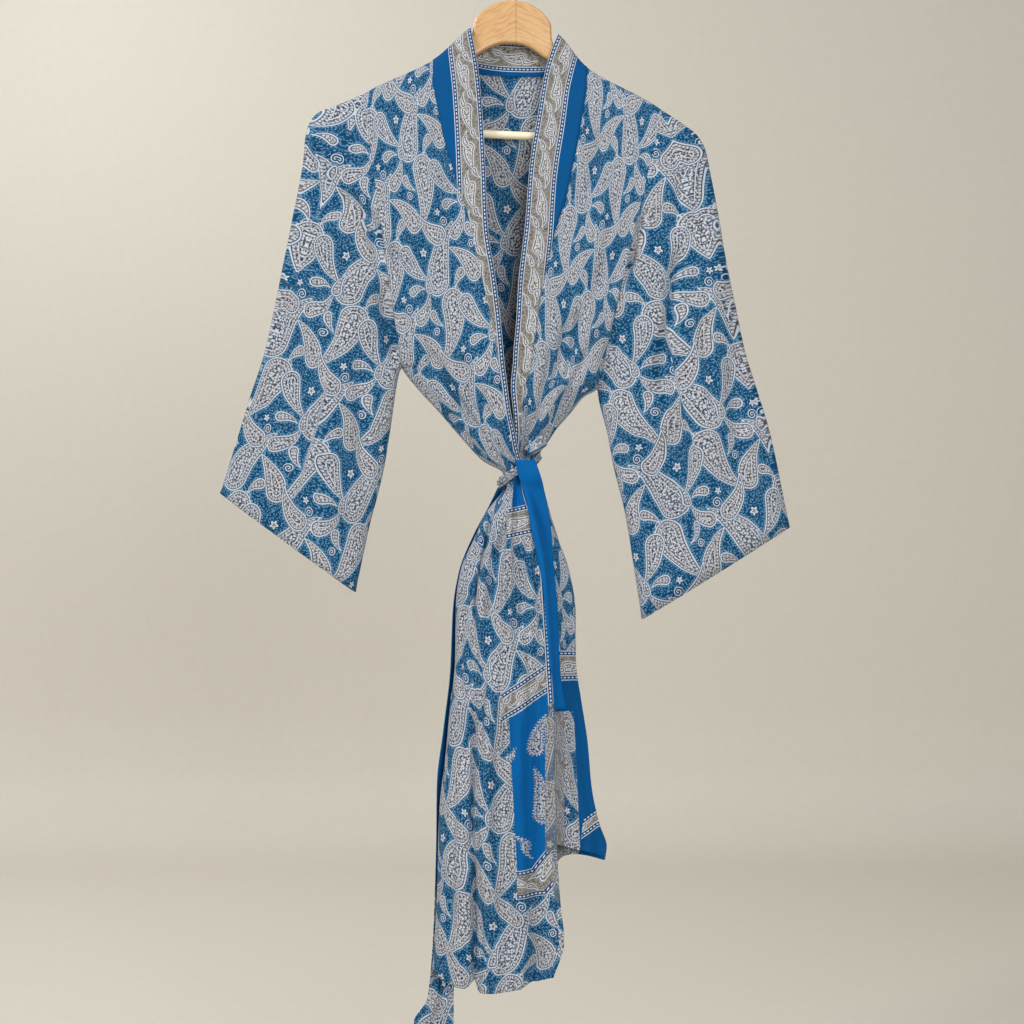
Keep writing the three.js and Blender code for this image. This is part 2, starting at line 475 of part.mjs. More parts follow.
function sheet(grid, { wall = WALL, inward = 1, ring = false, hold = {} } = {}) {
  const normals = normalsOf(grid, ring);
  holdEdges(normals, hold);
  const rows = grid.length;
  const width = grid[0].length;
  const points = [];
  for (const side of [0, 1]) {
    for (let j = 0; j < rows; j += 1) {
      for (let i = 0; i < width; i += 1) {
        const p = grid[j][i].clone().addScaledVector(normals[j][i], -side * wall * inward);
        points.push(p);
      }
    }
  }
  const at = (side, j, i) => side * rows * width + j * width + (i % width);
  const faces = [];
  const quad = (a, b, c, d) => faces.push([a, b, c], [a, c, d]);
  const spans = ring ? width : width - 1;
  for (let j = 0; j < rows - 1; j += 1) {
    for (let i = 0; i < spans; i += 1) {
      quad(at(0, j, i), at(0, j, i + 1), at(0, j + 1, i + 1), at(0, j + 1, i));
      faces.push([at(1, j, i), at(1, j + 1, i + 1), at(1, j, i + 1)]);
      faces.push([at(1, j, i), at(1, j + 1, i), at(1, j + 1, i + 1)]);
    }
  }
  for (let i = 0; i < spans; i += 1) {
    quad(at(0, 0, i + 1), at(0, 0, i), at(1, 0, i), at(1, 0, i + 1));
    quad(at(0, rows - 1, i), at(0, rows - 1, i + 1), at(1, rows - 1, i + 1), at(1, rows - 1, i));
  }
  if (!ring) {
    for (let j = 0; j < rows - 1; j += 1) {
      quad(at(0, j, 0), at(0, j + 1, 0), at(1, j + 1, 0), at(1, j, 0));
      quad(at(0, j + 1, width - 1), at(0, j, width - 1), at(1, j, width - 1), at(1, j + 1, width - 1));
    }
  }
  return solid(points, faces);
}

function signedVolume(points, faces) {
  return faces.reduce((sum, [a, b, c]) => {
    return sum + points[a].dot(points[b].clone().cross(points[c]));
  }, 0) / 6;
}

function solid(points, faces) {
  const flip = signedVolume(points, faces) < 0;
  const geometry = new THREE.BufferGeometry();
  geometry.setAttribute('position', new THREE.Float32BufferAttribute(points.flatMap((p) => p.toArray()), 3));
  geometry.setIndex(faces.flatMap(([a, b, c]) => (flip ? [a, c, b] : [a, b, c])));
  return geometry;
}

function node(name, geometry, look) {
  const mesh = new THREE.Mesh(geometry, new THREE.MeshStandardMaterial(look));
  mesh.name = name;
  return mesh;
}

// ---- panels ------------------------------------------------------------------------
// Each long panel is modelled as two stretches that meet under the belt.
function stretches(grid, { hold, ...options }) {
  const cut = (rows, from) => {
    const line = rows.map((points) => points.map((p) => p.clone()));
    const at = from === 0 ? line.length - 1 : 0;
    const beside = from === 0 ? at - 1 : 1;
    line[at].forEach((p, i) => p.add(line[beside][i].clone().sub(p).setLength(WAIST_GAP)));
    const shifted = Object.fromEntries(Object.entries(hold).map(([name, along]) => {
      if (name === 'first') return [name, from === 0 ? along : () => vec(0, 0, 1)];
      return [name, (j) => along(j + from)];
    }));
    if (from === 0) shifted.last = () => vec(0, 0, 1);
    return sheet(line, { ...options, hold: shifted });
  };
  return {
    grid,
    top: cut(grid.slice(0, WAIST_ROW + 1), 0),
    skirt: cut(grid.slice(WAIST_ROW), WAIST_ROW),
  };
}

const AWAY = {
  R: armholeAway(SLEEVE_RIGHT[0], -1),
  L: armholeAway(SLEEVE_LEFT[0], 1),
};

function armholeAway(row, hand) {
  const line = vec(row.inX - row.outX, 0, row.inZ - row.outZ).normalize();
  return vec(-line.z * hand, 0, line.x * hand);
}

function frontPanel(pointOf, hand) {
  const grid = ROWS.map((row) => {
    const seam = seamShare(row, hand);
    const line = [];
    for (let i = 0; i <= FRONT_COLUMNS; i += 1) line.push(pointOf(row, (seam * i) / FRONT_COLUMNS));
    line[FRONT_COLUMNS].addScaledVector(seamAcross(pointOf, row, seam), -SEAM);
    return line;
  });
  const acrossEnd = (j) => seamAcross(pointOf, ROWS[j], seamShare(ROWS[j], hand));
  const hold = {
    first: () => vec(0, 1, 0),
    start: (j) => (ROWS[j].upper && j < UPPER.length - 1 ? AWAY[hand] : vec(0, 1, 0)),
    end: acrossEnd,
    endNormal: (j) => (j === 0 ? null : seamNormal(pointOf, hand, j)),
  };
  return stretches(grid, { inward: hand === 'R' ? -1 : 1, hold });
}

// Columns of the back: even across each shoulder, on the seam points at the neck.
function backShares() {
  const right = ROWS[0];
  const share = (x) => (x - right.sRx) / (right.sLx - right.sRx);
  const neck = BACK_NECK.map((n) => share(n.seamX));
  const seamR = share(pointRight(right, seamShare(right, 'R')).x);
  const seamL = share(pointLeft(right, seamShare(right, 'L')).x);
  const shares = [];
  for (let i = 0; i < SHOULDER_COLUMNS; i += 1) shares.push((seamR * i) / SHOULDER_COLUMNS);
  shares.push(seamR, neck[0]);
  for (let n = 1; n < neck.length; n += 1) {
    const middle = neck[n] - neck[n - 1] > 0.08;
    if (middle) shares.push(mix(neck[n - 1], neck[n], 0.5));
    shares.push(neck[n]);
  }
  for (let i = 0; i <= SHOULDER_COLUMNS; i += 1) shares.push(mix(seamL, 1, i / SHOULDER_COLUMNS));
  return shares;
}

function backPanel() {
  const shares = backShares();
  const grid = ROWS.map((row) => shares.map((across) => pointBack(row, across)));
  const seamR = BACK_NECK[0].seamX;
  const seamL = BACK_NECK[BACK_NECK.length - 1].seamX;
  const hold = {
    first: (i) => (grid[0][i].x > seamR && grid[0][i].x < seamL ? vec(0, 0, 1) : vec(0, 1, 0)),
    start: (j) => (j < UPPER.length - 1 ? AWAY.R : vec(0, 1, 0)),
    end: (j) => (j < UPPER.length - 1 ? AWAY.L : vec(0, 1, 0)),
  };
  return stretches(grid, { inward: 1, hold });
}

function bandRow(pointOf, row, hand) {
  const seam = seamShare(row, hand);
  const line = [];
  for (let i = 0; i <= BAND_COLUMNS; i += 1) line.push(pointOf(row, mix(seam, 1, i / BAND_COLUMNS)));
  line.across = seamAcross(pointOf, row, seam);
  line.normal = row.turn === 0 ? null : seamNormal(pointOf, hand, ROWS.indexOf(row));
  line[0].addScaledVector(line.across, SEAM);
  if (row.turn === 0) line.forEach((p) => p.setY(0));
  return line;
}

function neckband() {
  const right = ROWS.map((row) => bandRow(pointRight, row, 'R')).reverse();
  const left = ROWS.map((row) => bandRow(pointLeft, row, 'L'));
  const back = BACK_NECK.map((n) => {
    const line = [];
    for (let i = 0; i <= BAND_COLUMNS; i += 1) {
      const t = i / BAND_COLUMNS;
      line.push(vec(mix(n.seamX, n.freeX, t), n.y + SEAM, mix(n.seamZ, n.freeZ, t)));
    }
    return line;
  });
  const grid = [...right, ...back, ...left];
  const hold = {
    start: (j) => grid[j].across || grid[j][1].clone().sub(grid[j][0]).normalize(),
    startNormal: (j) => grid[j].normal || null,
    first: () => vec(0, 0, 1),
    last: () => vec(0, 0, 1),
  };
  return { grid, geometry: sheet(grid, { wall: BAND_WALL, inward: 1, hold }) };
}

function sleeve(table, hand) {
  const away = AWAY[hand];
  const grid = table.map((row, j) => {
    const line = [];
    for (let i = 0; i < SLEEVE_COLUMNS; i += 1) {
      const turn = (360 * i) / SLEEVE_COLUMNS;
      const w = drop(turn);
      const x = mix(row.outX, row.inX, w);
      const z = mix(row.outZ, row.inZ, w);
      const face = Math.sin(radians(turn)) >= 0 ? -1 : 1;
      const tip = smooth(Math.abs(Math.sin(radians(turn))) * 2);
      const pull = creaseDepth(x, z) * tip * (j === 0 ? 0.4 : 1) * (face < 0 ? 1 : 0.6);
      const point = vec(x, face * (row.half * lens(turn) - pull), z);
      if (j === 0) point.addScaledVector(away, 2 * SEAM);
      line.push(point);
    }
    return line;
  });
  const hold = { first: () => away };
  return { grid, geometry: sheet(grid, { ring: true, inward: hand === 'R' ? -1 : 1, hold }) };
}

// ---- what lies on the skirt -----------------------------------------------------------
function skinDepth(grids, x, z, sign) {
  let best = 0;
  const inside = (a, b, c) => {
    const d = (b.x - a.x) * (c.z - a.z) - (c.x - a.x) * (b.z - a.z);
    if (Math.abs(d) < 1e-6) return;
    const u = ((x - a.x) * (c.z - a.z) - (c.x - a.x) * (z - a.z)) / d;
    const v = ((b.x - a.x) * (z - a.z) - (x - a.x) * (b.z - a.z)) / d;
    if (u < -0.01 || v < -0.01 || u + v > 1.01) return;
    best = Math.max(best, sign * (a.y + u * (b.y - a.y) + v * (c.y - a.y)));
  };
  for (const grid of grids) {
    for (let j = 0; j < grid.length - 1; j += 1) {
      for (let i = 0; i < grid[0].length - 1; i += 1) {
        inside(grid[j][i], grid[j][i + 1], grid[j + 1][i + 1]);
        inside(grid[j][i], grid[j + 1][i + 1], grid[j + 1][i]);
      }
    }
  }
  return best;
}

function clearDepth(grids, x, z, sign) {
  let best = 0;
  for (const dx of [-7, 0, 7]) {
    for (const dz of [-9, 0, 9]) best = Math.max(best, skinDepth(grids, x + dx, z + dz, sign));
  }
  return best;
}

function tail(table, grids, { sign, columns, lift, floor }) {
  const grid = table.map((row) => {
    const line = [];
    for (let i = 0; i <= columns; i += 1) {
      const x = mix(row.left, row.right, i / columns);
      const depth = Math.max(clearDepth(grids, x, Math.max(row.z, -1196), sign), floor(row)) + lift;
      line.push(vec(x, sign * depth, row.z));
    }
    return line;
  });
  return { grid, geometry: sheet(grid, { wall: BELT_WALL, inward: sign > 0 ? 1 : -1 }) };
}

// ---- belt round the waist ------------------------------------------------------------------
const WAIST = { x: 4.4, z: -613.6, slope: 0.65, halfX: 23.9, halfY: 24.6, height: 17, pinch: 4 };

function beltWrap() {
  const grid = [];
  for (let j = 0; j <= 4; j += 1) {
    const line = [];
    const t = j / 4 - 0.5;
    for (let i = 0; i < 28; i += 1) {
      const a = (i / 28) * 2 * Math.PI;
      const bulge = 1.1 * Math.cos(Math.PI * t) + 0.5 * Math.sin(3 * a + 5 * t) + 0.5;
      const blunt = (v) => Math.sign(v) * Math.pow(Math.abs(v), 2 / PANEL_ROUND);
      const x = WAIST.x + (WAIST.halfX + bulge) * blunt(Math.cos(a));
      const y = (WAIST.halfY + bulge) * blunt(Math.sin(a));
      const height = WAIST.height - WAIST.pinch * smooth(Math.cos(a + 0.8));
      line.push(vec(x, y, WAIST.z + WAIST.slope * (x - WAIST.x) - height * t));
    }
    grid.push(line);
  }
  return sheet(grid, { wall: BELT_WALL, ring: true, inward: -1 });
}

function beltKnot() {
  const centre = vec(23.5, -27.4, -586);
  const half = vec(12.5, 8, 12.5);
  const points = [];
  const faces = [];
  const rings = 9;
  const steps = 16;
  points.push(vec(centre.x, centre.y, centre.z + half.z));
  for (let j = 1; j < rings; j += 1) {
    const b = (j / rings) * Math.PI;
    for (let i = 0; i < steps; i += 1) {
      const a = (i / steps) * 2 * Math.PI;
      const twist = 1 + 0.1 * Math.sin(2 * a + 5 * b) + 0.05 * Math.sin(5 * a - 3 * b);
      const r = Math.sin(b) * twist;
      points.push(vec(
        centre.x + half.x * r * Math.cos(a),
        centre.y + half.y * r * Math.sin(a),
        centre.z + half.z * Math.cos(b) + 3 * Math.sin(b) * Math.cos(a),
      ));
    }
  }
  points.push(vec(centre.x, centre.y, centre.z - half.z));
  const foot = points.length - 1;
  for (let i = 0; i < steps; i += 1) {
    const n = (i + 1) % steps;
    faces.push([0, 1 + i, 1 + n]);
    for (let j = 0; j < rings - 2; j += 1) {
      const a = 1 + j * steps;
      const b = a + steps;
      faces.push([a + i, b + i, b + n], [a + i, b + n, a + n]);
    }
    faces.push([1 + (rings - 2) * steps + n, 1 + (rings - 2) * steps + i, foot]);
  }
  return solid(points, faces);
}

// ---- hanger ----------------------------------------------------------------------------------
function toManifold(geometry) {
  const position = geometry.getAttribute('position');
  const key = new Map();
  const points = [];
  const index = [];
  const source = geometry.getIndex();
  const total = source ? source.count : position.count;
  for (let n = 0; n < total; n += 1) {
    const i = source ? source.getX(n) : n;
    const p = [position.getX(i), position.getY(i), position.getZ(i)];
    const name = p.map((v) => v.toFixed(4)).join(' ');
    if (!key.has(name)) {
      key.set(name, points.length / 3);
      points.push(...p);
    }
    index.push(key.get(name));
  }
  return new wasm.Manifold(new wasm.Mesh({
    numProp: 3,
    vertProperties: new Float32Array(points),
    triVerts: new Uint32Array(index),
  }));
}

function fromManifold(shape) {
  const mesh = shape.getMesh();
  const geometry = new THREE.BufferGeometry();
  const coordinates = [];
  for (let i = 0; i < mesh.vertProperties.length; i += mesh.numProp) {
    coordinates.push(...mesh.vertProperties.slice(i, i + 3));
  }
  geometry.setAttribute('position', new THREE.Float32BufferAttribute(coordinates, 3));
  geometry.setIndex(Array.from(mesh.triVerts));
  return geometry;
}

function tilted(x, y, z) {
  const a = radians(HANGER_TILT);
  return vec(x * Math.cos(a) + z * Math.sin(a) + HEAD_SHIFT, y, z * Math.cos(a) - x * Math.sin(a));
}

function outline(inset) {
  const right = [...ARM_TOP, ...ARM_UNDER];
  const left = right.slice(1, -1).reverse().map((p) => ({ x: -p.x, z: p.z }));
  const loop = [...right, ...left].map((p) => new THREE.Vector2(p.x, p.z));
  return loop.map((p, i) => {
    const before = loop[(i + loop.length - 1) % loop.length];
    const after = loop[(i + 1) % loop.length];
    const a = p.clone().sub(before).normalize();
    const b = after.clone().sub(p).normalize();
    const n = new THREE.Vector2(a.y + b.y, -a.x - b.x).normalize();
    return p.clone().addScaledVector(n, inset);
  });
}

function hangerArms() {
  const half = HANGER_THICK / 2;
  const edge = [
    { inset: 3.4, y: -half }, { inset: 1.0, y: -half + 1.0 }, { inset: 0, y: -half + 3.4 },
    { inset: 0, y: half - 3.4 }, { inset: 1.0, y: half - 1.0 }, { inset: 3.4, y: half },
  ];
  const rings = edge.map((e) => outline(e.inset).map((p) => tilted(p.x, e.y, p.y - HEAD_DROP)));
  const count = rings[0].length;
  const points = rings.flat();
  const faces = [];
  for (let j = 0; j < rings.length - 1; j += 1) {
    for (let i = 0; i < count; i += 1) {
      const n = (i + 1) % count;
      const a = j * count;
      const b = a + count;
      faces.push([a + i, a + n, b + n], [a + i, b + n, b + i]);
    }
  }
  const flat = outline(3.4);
  const caps = THREE.ShapeUtils.triangulateShape(flat, []);
  const top = (rings.length - 1) * count;
  const turn = (p, q, r) => Math.sign((q.x - p.x) * (r.y - p.y) - (r.x - p.x) * (q.y - p.y));
  const way = Math.sign(THREE.ShapeUtils.area(flat));
  for (const [a, b, c] of caps) {
    const [p, q] = turn(flat[a], flat[b], flat[c]) === way ? [b, c] : [c, b];
    faces.push([a, q, p], [top + a, top + p, top + q]);
  }
  const body = toManifold(solid(points, faces));
  const bar = toManifold(rod(-BAR_HALF - 0.4, BAR_HALF + 0.4, BAR_DIAMETER / 2 + 0.35));
  const stem = toManifold(stemHole());
  return fromManifold(body.subtract(bar).subtract(stem));
}

function rod(from, to, radius) {
  const points = [];
  const faces = [];
  const steps = 16;
  for (const x of [from, to]) {
    for (let i = 0; i < steps; i += 1) {
      const a = (i / steps) * 2 * Math.PI;
      points.push(tilted(x, radius * Math.cos(a), radius * Math.sin(a) - HEAD_DROP - 158.5));
    }
  }
  points.push(tilted(from, 0, -HEAD_DROP - 158.5), tilted(to, 0, -HEAD_DROP - 158.5));
  for (let i = 0; i < steps; i += 1) {
    const n = (i + 1) % steps;
    faces.push([i, n, steps + n], [i, steps + n, steps + i]);
    faces.push([2 * steps, n, i], [2 * steps + 1, steps + i, steps + n]);
  }
  return solid(points, faces);
}

function tubeAlong(centres, radius, steps) {
  const points = [];
  const faces = [];
  centres.forEach((c, j) => {
    const before = centres[Math.max(0, j - 1)];
    const after = centres[Math.min(centres.length - 1, j + 1)];
    const along = after.clone().sub(before).normalize();
    const side = vec(0, 1, 0);
    const up = along.clone().cross(side).normalize();
    for (let i = 0; i < steps; i += 1) {
      const a = (i / steps) * 2 * Math.PI;
      const rim = c.clone().addScaledVector(side, radius * Math.cos(a));
      points.push(rim.addScaledVector(up, radius * Math.sin(a)));
    }
  });
  points.push(centres[0].clone(), centres[centres.length - 1].clone());
  const tip = points.length - 2;
  const end = (centres.length - 1) * steps;
  for (let i = 0; i < steps; i += 1) {
    const n = (i + 1) % steps;
    for (let j = 0; j < centres.length - 1; j += 1) {
      const a = j * steps;
      const b = a + steps;
      faces.push([a + i, a + n, b + n], [a + i, b + n, b + i]);
    }
    faces.push([tip, n, i], [tip + 1, end + i, end + n]);
  }
  return solid(points, faces);
}

function stemHole() {
  const ends = [tilted(0, 0, -HEAD_DROP + 4), tilted(0, 0, -HEAD_DROP - 14)];
  return tubeAlong(ends, WIRE_DIAMETER / 2 + 0.4, 10);
}

function hangerHook() {
  const radius = HOOK_INSIDE + WIRE_DIAMETER / 2;
  const centres = [];
  for (let a = 190; a >= -70; a -= 13) {
    centres.push(vec(radius * Math.cos(radians(a)), 0, -HOOK_INSIDE + radius * Math.sin(radians(a))));
  }
  centres.push(vec(3.6, 0, -49.6), vec(-0.6, 0, -52.4), tilted(0, 0, -55.6));
  centres.push(tilted(0, 0, -HEAD_DROP - 4), tilted(0, 0, -HEAD_DROP - 13.6));
  return tubeAlong(centres, WIRE_DIAMETER / 2, 10);
}

// ---- the whole ----------------------------------------------------------------------------------
const frontRight = frontPanel(pointRight, 'R');
const frontLeft = frontPanel(pointLeft, 'L');
const back = backPanel();
const band = neckband();
const sleeveRight = sleeve(SLEEVE_RIGHT, 'R');
const sleeveLeft = sleeve(SLEEVE_LEFT, 'L');
const frontSkins = [frontRight.grid, frontLeft.grid, band.grid];
const tailFront = tail(TAIL_FRONT, frontSkins, {
  sign: -1, columns: 3, lift: 1.8, floor: (row) => (row.z > -630 ? 27.5 : 20),
});
const tailSide = tail(TAIL_SIDE, [back.grid], {
  sign: 1, columns: 5, lift: 3.2, floor: (row) => (row.z > -640 ? 28 : 8),
});

const robe = new THREE.Group();
robe.name = 'kimono_robe';
robe.add(node('back_top', back.top, CLOTH));
robe.add(node('back_skirt', back.skirt, CLOTH));
robe.add(node('front_right_top', frontRight.top, CLOTH));
robe.add(node('front_right_skirt', frontRight.skirt, CLOTH));
robe.add(node('front_left_top', frontLeft.top, CLOTH));
robe.add(node('front_left_skirt', frontLeft.skirt, CLOTH));
robe.add(node('sleeve_right', sleeveRight.geometry, CLOTH));
robe.add(node('sleeve_left', sleeveLeft.geometry, CLOTH));
robe.add(node('neckband', band.geometry, BAND));
robe.add(node('belt_wrap', beltWrap(), PRINT));
robe.add(node('belt_knot', beltKnot(), PRINT));
robe.add(node('belt_tail_front', tailFront.geometry, BLUE));
robe.add(node('belt_tail_side', tailSide.geometry, PRINT));
robe.add(node('hanger_arms', hangerArms(), WOOD));
robe.add(node('hanger_bar', rod(-BAR_HALF, BAR_HALF, BAR_DIAMETER / 2), WOOD));
robe.add(node('hanger_hook', hangerHook(), STEEL));

export default robe;
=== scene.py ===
import logging
import math
from dataclasses import dataclass, fields
from enum import Enum
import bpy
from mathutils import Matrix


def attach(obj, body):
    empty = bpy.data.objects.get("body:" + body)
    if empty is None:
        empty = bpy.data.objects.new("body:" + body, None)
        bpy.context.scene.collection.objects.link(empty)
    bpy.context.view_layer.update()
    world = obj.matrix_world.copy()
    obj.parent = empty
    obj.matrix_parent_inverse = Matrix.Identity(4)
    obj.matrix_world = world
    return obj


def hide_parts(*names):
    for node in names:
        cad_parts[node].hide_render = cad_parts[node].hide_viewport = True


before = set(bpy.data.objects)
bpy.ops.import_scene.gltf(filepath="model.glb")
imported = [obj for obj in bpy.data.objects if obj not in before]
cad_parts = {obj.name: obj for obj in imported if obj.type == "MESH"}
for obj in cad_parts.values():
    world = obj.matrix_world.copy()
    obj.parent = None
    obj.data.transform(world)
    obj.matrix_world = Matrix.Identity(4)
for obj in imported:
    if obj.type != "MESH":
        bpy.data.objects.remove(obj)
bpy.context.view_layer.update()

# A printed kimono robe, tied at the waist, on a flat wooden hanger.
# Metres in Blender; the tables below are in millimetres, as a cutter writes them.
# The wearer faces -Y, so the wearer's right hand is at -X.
from types import SimpleNamespace
from typing import Sequence

import bmesh
import bpy
from mathutils import Vector, noise
from mathutils.bvhtree import BVHTree

log = logging.getLogger("robe")
MM = 0.001
SOFT = 0.3                              # softness of the print's edges, in millimetres
NO_MOTIF = (99.0, 0.0, 0.0)             # distance, run and tone far from every motif
PLEAT_LEVEL = -630                      # below it the front has pleats, above it creases
CREASE_GAIN = 1.25                      # soft cloth creases deeper than the solids do
FINE_GAIN_BODY, FINE_GAIN_SLEEVE = 1.9, 2.0
RIPPLE_GAIN = 2.0
FLAP_SLACK = 14                         # extra width of the left front's flap
SIDE_END_PRINT_TOP = -1100.0            # the printed belt end is plain blue above this
BAND_STRIP_TOP, BAND_STRIP_FOOT = -884.0, -1112.0
FLAP_INNER_X = 30.0                     # the left front's corner lies beyond this
FLAP_BLUE_TOP, YOKE_FOOT = -860.0, -895.0
PANEL_TOP, PANEL_FOOT, PANEL_INNER_X = -896.0, -1070.0, -12.0
EDGE_STRIP_TOP, EDGE_STRIP_FOOT, EDGE_STRIP_X = -900.0, -1056.0, 33.5
HEM_BORDER, HEM_RIM, HEM_FAR_RIM = 14.0, 1.5, 28.0      # out from the blue end's foot
TAUPE_SHARE = 0.45                      # how far the grey strips hide the print
BACK_SHARE = 0.97                       # depth of the back against the front's
ROD_END = 0.72                          # how far a rod's last ring is drawn in


class Hand(Enum):
    """The wearer's side that a piece belongs to."""

    RIGHT = -1
    LEFT = 1


class Held(Enum):
    """How a piece of cloth is held."""

    GATHERED = "gathered"
    HUNG = "hung"
    FOLDED = "folded"


# ---- tables of the cut ---------------------------------------------------


@dataclass(frozen=True)
class UpperSection:
    """Body section at one turn of the armhole ring: free edges, band widths, depth."""

    turn: float
    right_x: float
    right_z: float
    right_band: float
    left_x: float
    left_z: float
    left_band: float
    depth: float


@dataclass(frozen=True)
class LowerSection:
    """Body section below the armpit: side seams, free edges, flap, depths."""

    right_side_x: float
    right_side_z: float
    right_edge_x: float
    right_edge_z: float
    left_edge_x: float
    left_edge_z: float
    left_side_x: float
    left_side_z: float
    nose_x: float
    nose_z: float
    nose_y: float
    return_x: float
    return_z: float
    return_y: float
    front: float
    back: float
    under: float
    edge: float
    right_band: float
    left_band: float


@dataclass(frozen=True)
class SleeveSection:
    """Sleeve section: outer fold, inner fold, half depth."""

    out_x: float
    out_z: float
    in_x: float
    in_z: float
    half: float


@dataclass(frozen=True)
class Fold:
    """A gather: half width, place across the panel and depth at each level."""

    half: float
    across: tuple[float, ...]
    depth: tuple[float, ...]


@dataclass(frozen=True)
class Crease:
    """A drag crease, as a line on the front or back view; depth under zero is a ridge."""

    x0: float
    z0: float
    x1: float
    z1: float
    half: float
    depth: float


UPPER = (
    UpperSection(0, -53.1, -92.7, 43.7, 49.2, -100.3, 33.4, 0),
    UpperSection(10, -52.5, -96.2, 43.6, 48.4, -103.9, 34.0, 8),
    UpperSection(20, -51.3, -104.5, 44.8, 45.4, -111.6, 36.6, 10.5),
    UpperSection(40, -44.8, -142.2, 49.6, 34.8, -144.6, 45.4, 13),
    UpperSection(60, -39.5, -195.3, 46.0, 25.4, -198.9, 46.6, 17),
    UpperSection(80, -36.0, -257.9, 34.2, 15.9, -260.2, 44.3, 22),
    UpperSection(100, -33.0, -329.9, 17.7, 10.6, -328.7, 31.9, 27),
    UpperSection(120, -23.6, -393.6, 14.2, 2.9, -394.8, 26.0, 31),
    UpperSection(140, -17.7, -443.1, 8.5, 0.0, -445.5, 21.8, 33),
    UpperSection(160, -14.8, -475.0, 6.5, -2.9, -476.2, 20.1, 34),
    UpperSection(180, -13.6, -489.2, 6.0, -3.5, -490.3, 18.9, 34),
)

# Columns as in LowerSection: side, edge, edge, side; nose; return; depths; bands.
LOWER = (
    LowerSection(-113.5, -521.7, -10.0, -517.5, -5.9, -517.5, 80.2, -528.1,
                 25, -634, 13, 30, -633, 5, 34, 33, 0.5, 1.00, 5.5, 15),
    LowerSection(-90.0, -547.0, -6.5, -545.8, -3.5, -545.8, 64.4, -547.0,
                 25, -634, 13, 30, -633, 5, 33, 31, 2.5, 1.00, 5, 9),
    LowerSection(-59.4, -582.4, -1.2, -571.8, -1.8, -569.4, 47.2, -567.0,
                 25, -634, 13, 30, -633, 5, 29, 27, 4.5, 0.98, 5, 6),
    LowerSection(-37.8, -604.8, 2.4, -590.6, -2.9, -588.3, 35.6, -583.6,
                 25, -634, 13, 30, -633, 5, 24, 23, 4.8, 0.97, 5, 5),
    LowerSection(-16.0, -617.0, 5.3, -603.2, -4.1, -600.8, 24.5, -590.5,
                 25, -634, 13, 30, -633, 5, 20.5, 20.5, 4.8, 0.96, 5, 5),
    LowerSection(-15.0, -627.2, 7.1, -611.9, -4.1, -609.5, 24.0, -600.1,
                 25, -634, 13, 30, -633, 5, 20, 20, 5, 0.95, 5, 5),
    LowerSection(-15.5, -638.0, 9.4, -622.0, -4.1, -619.6, 24.5, -610.5,
                 25, -634, 13, 30, -633, 5, 20.5, 20.5, 5, 0.94, 5, 5),
    LowerSection(-26.0, -652.0, 13.0, -640.8, -2.4, -638.5, 31.9, -632.8,
                 25, -634, 13, 30, -633, 5, 26, 24, 5.5, 0.92, 5, 5),
    LowerSection(-36.8, -666.2, 18.9, -660.3, 2.4, -659.1, 37.8, -655.5,
                 31, -657, 18, 36, -656, 7, 34, 31, 6.5, 0.90, 5, 5),
    LowerSection(-49.6, -695.7, 27.1, -692.1, 11.8, -692.1, 47.2, -689.8,
                 43, -691, 22, 48, -690.5, 9, 42, 39, 7.5, 0.88, 5.5, 5.5),
    LowerSection(-64.9, -729.9, 33.0, -729.9, 18.9, -729.9, 56.6, -729.9,
                 59, -729.9, 22, 59, -729.9, 9, 47, 45, 8, 0.86, 6, 6),
    LowerSection(-71.4, -779.4, 36.6, -779.4, 23.6, -779.4, 61.7, -779.4,
                 67, -779.4, 23, 66, -779.4, 9, 51, 49, 8.5, 0.86, 6, 6),
    LowerSection(-72.0, -838.4, 40.1, -838.4, 28.3, -832.5, 58.4, -838.4,
                 68.4, -833, 24, 62, -836, 9, 54, 52, 9, 0.86, 6, 6),
    LowerSection(-77.9, -891.5, 43.1, -891.5, 34.2, -873.8, 49.9, -891.5,
                 75.5, -882, 26, 57, -886, 9, 55, 54, 9, 0.86, 6, 6),
    LowerSection(-82.6, -944.6, 43.7, -944.6, 35.0, -911.6, 45.2, -944.6,
                 83, -930, 27, 56, -934, 9, 55, 55, 9, 0.86, 6, 6),
    LowerSection(-90.9, -1021.0, 45.7, -1021.0, 35.5, -960.0, 40.2, -1021.0,
                 88, -984, 27, 54, -990, 9, 55, 55, 9, 0.86, 6, 6),
    LowerSection(-93.2, -1110.0, 50.6, -1108.0, 36.0, -1008.0, 36.6, -1106.0,
                 97, -1026, 28, 52, -1034, 9, 55, 56, 9, 0.86, 6, 6),
    LowerSection(-96.2, -1165.0, 55.5, -1158.0, 36.5, -1032.0, 35.4, -1162.9,
                 105.5, -1052, 28, 50, -1058, 9, 55, 56, 9, 0.86, 6, 6),
    LowerSection(-98.5, -1204.0, 43.0, -1200.0, 37.0, -1045.0, 34.2, -1211.3,
                 103, -1068, 28, 48, -1076, 9, 56, 57, 9, 0.86, 6, 6),
)
BELT_FOOT_ROW = len(UPPER) + 6      # the flap starts under this section
HEM_ROW = len(UPPER) + len(LOWER) - 1

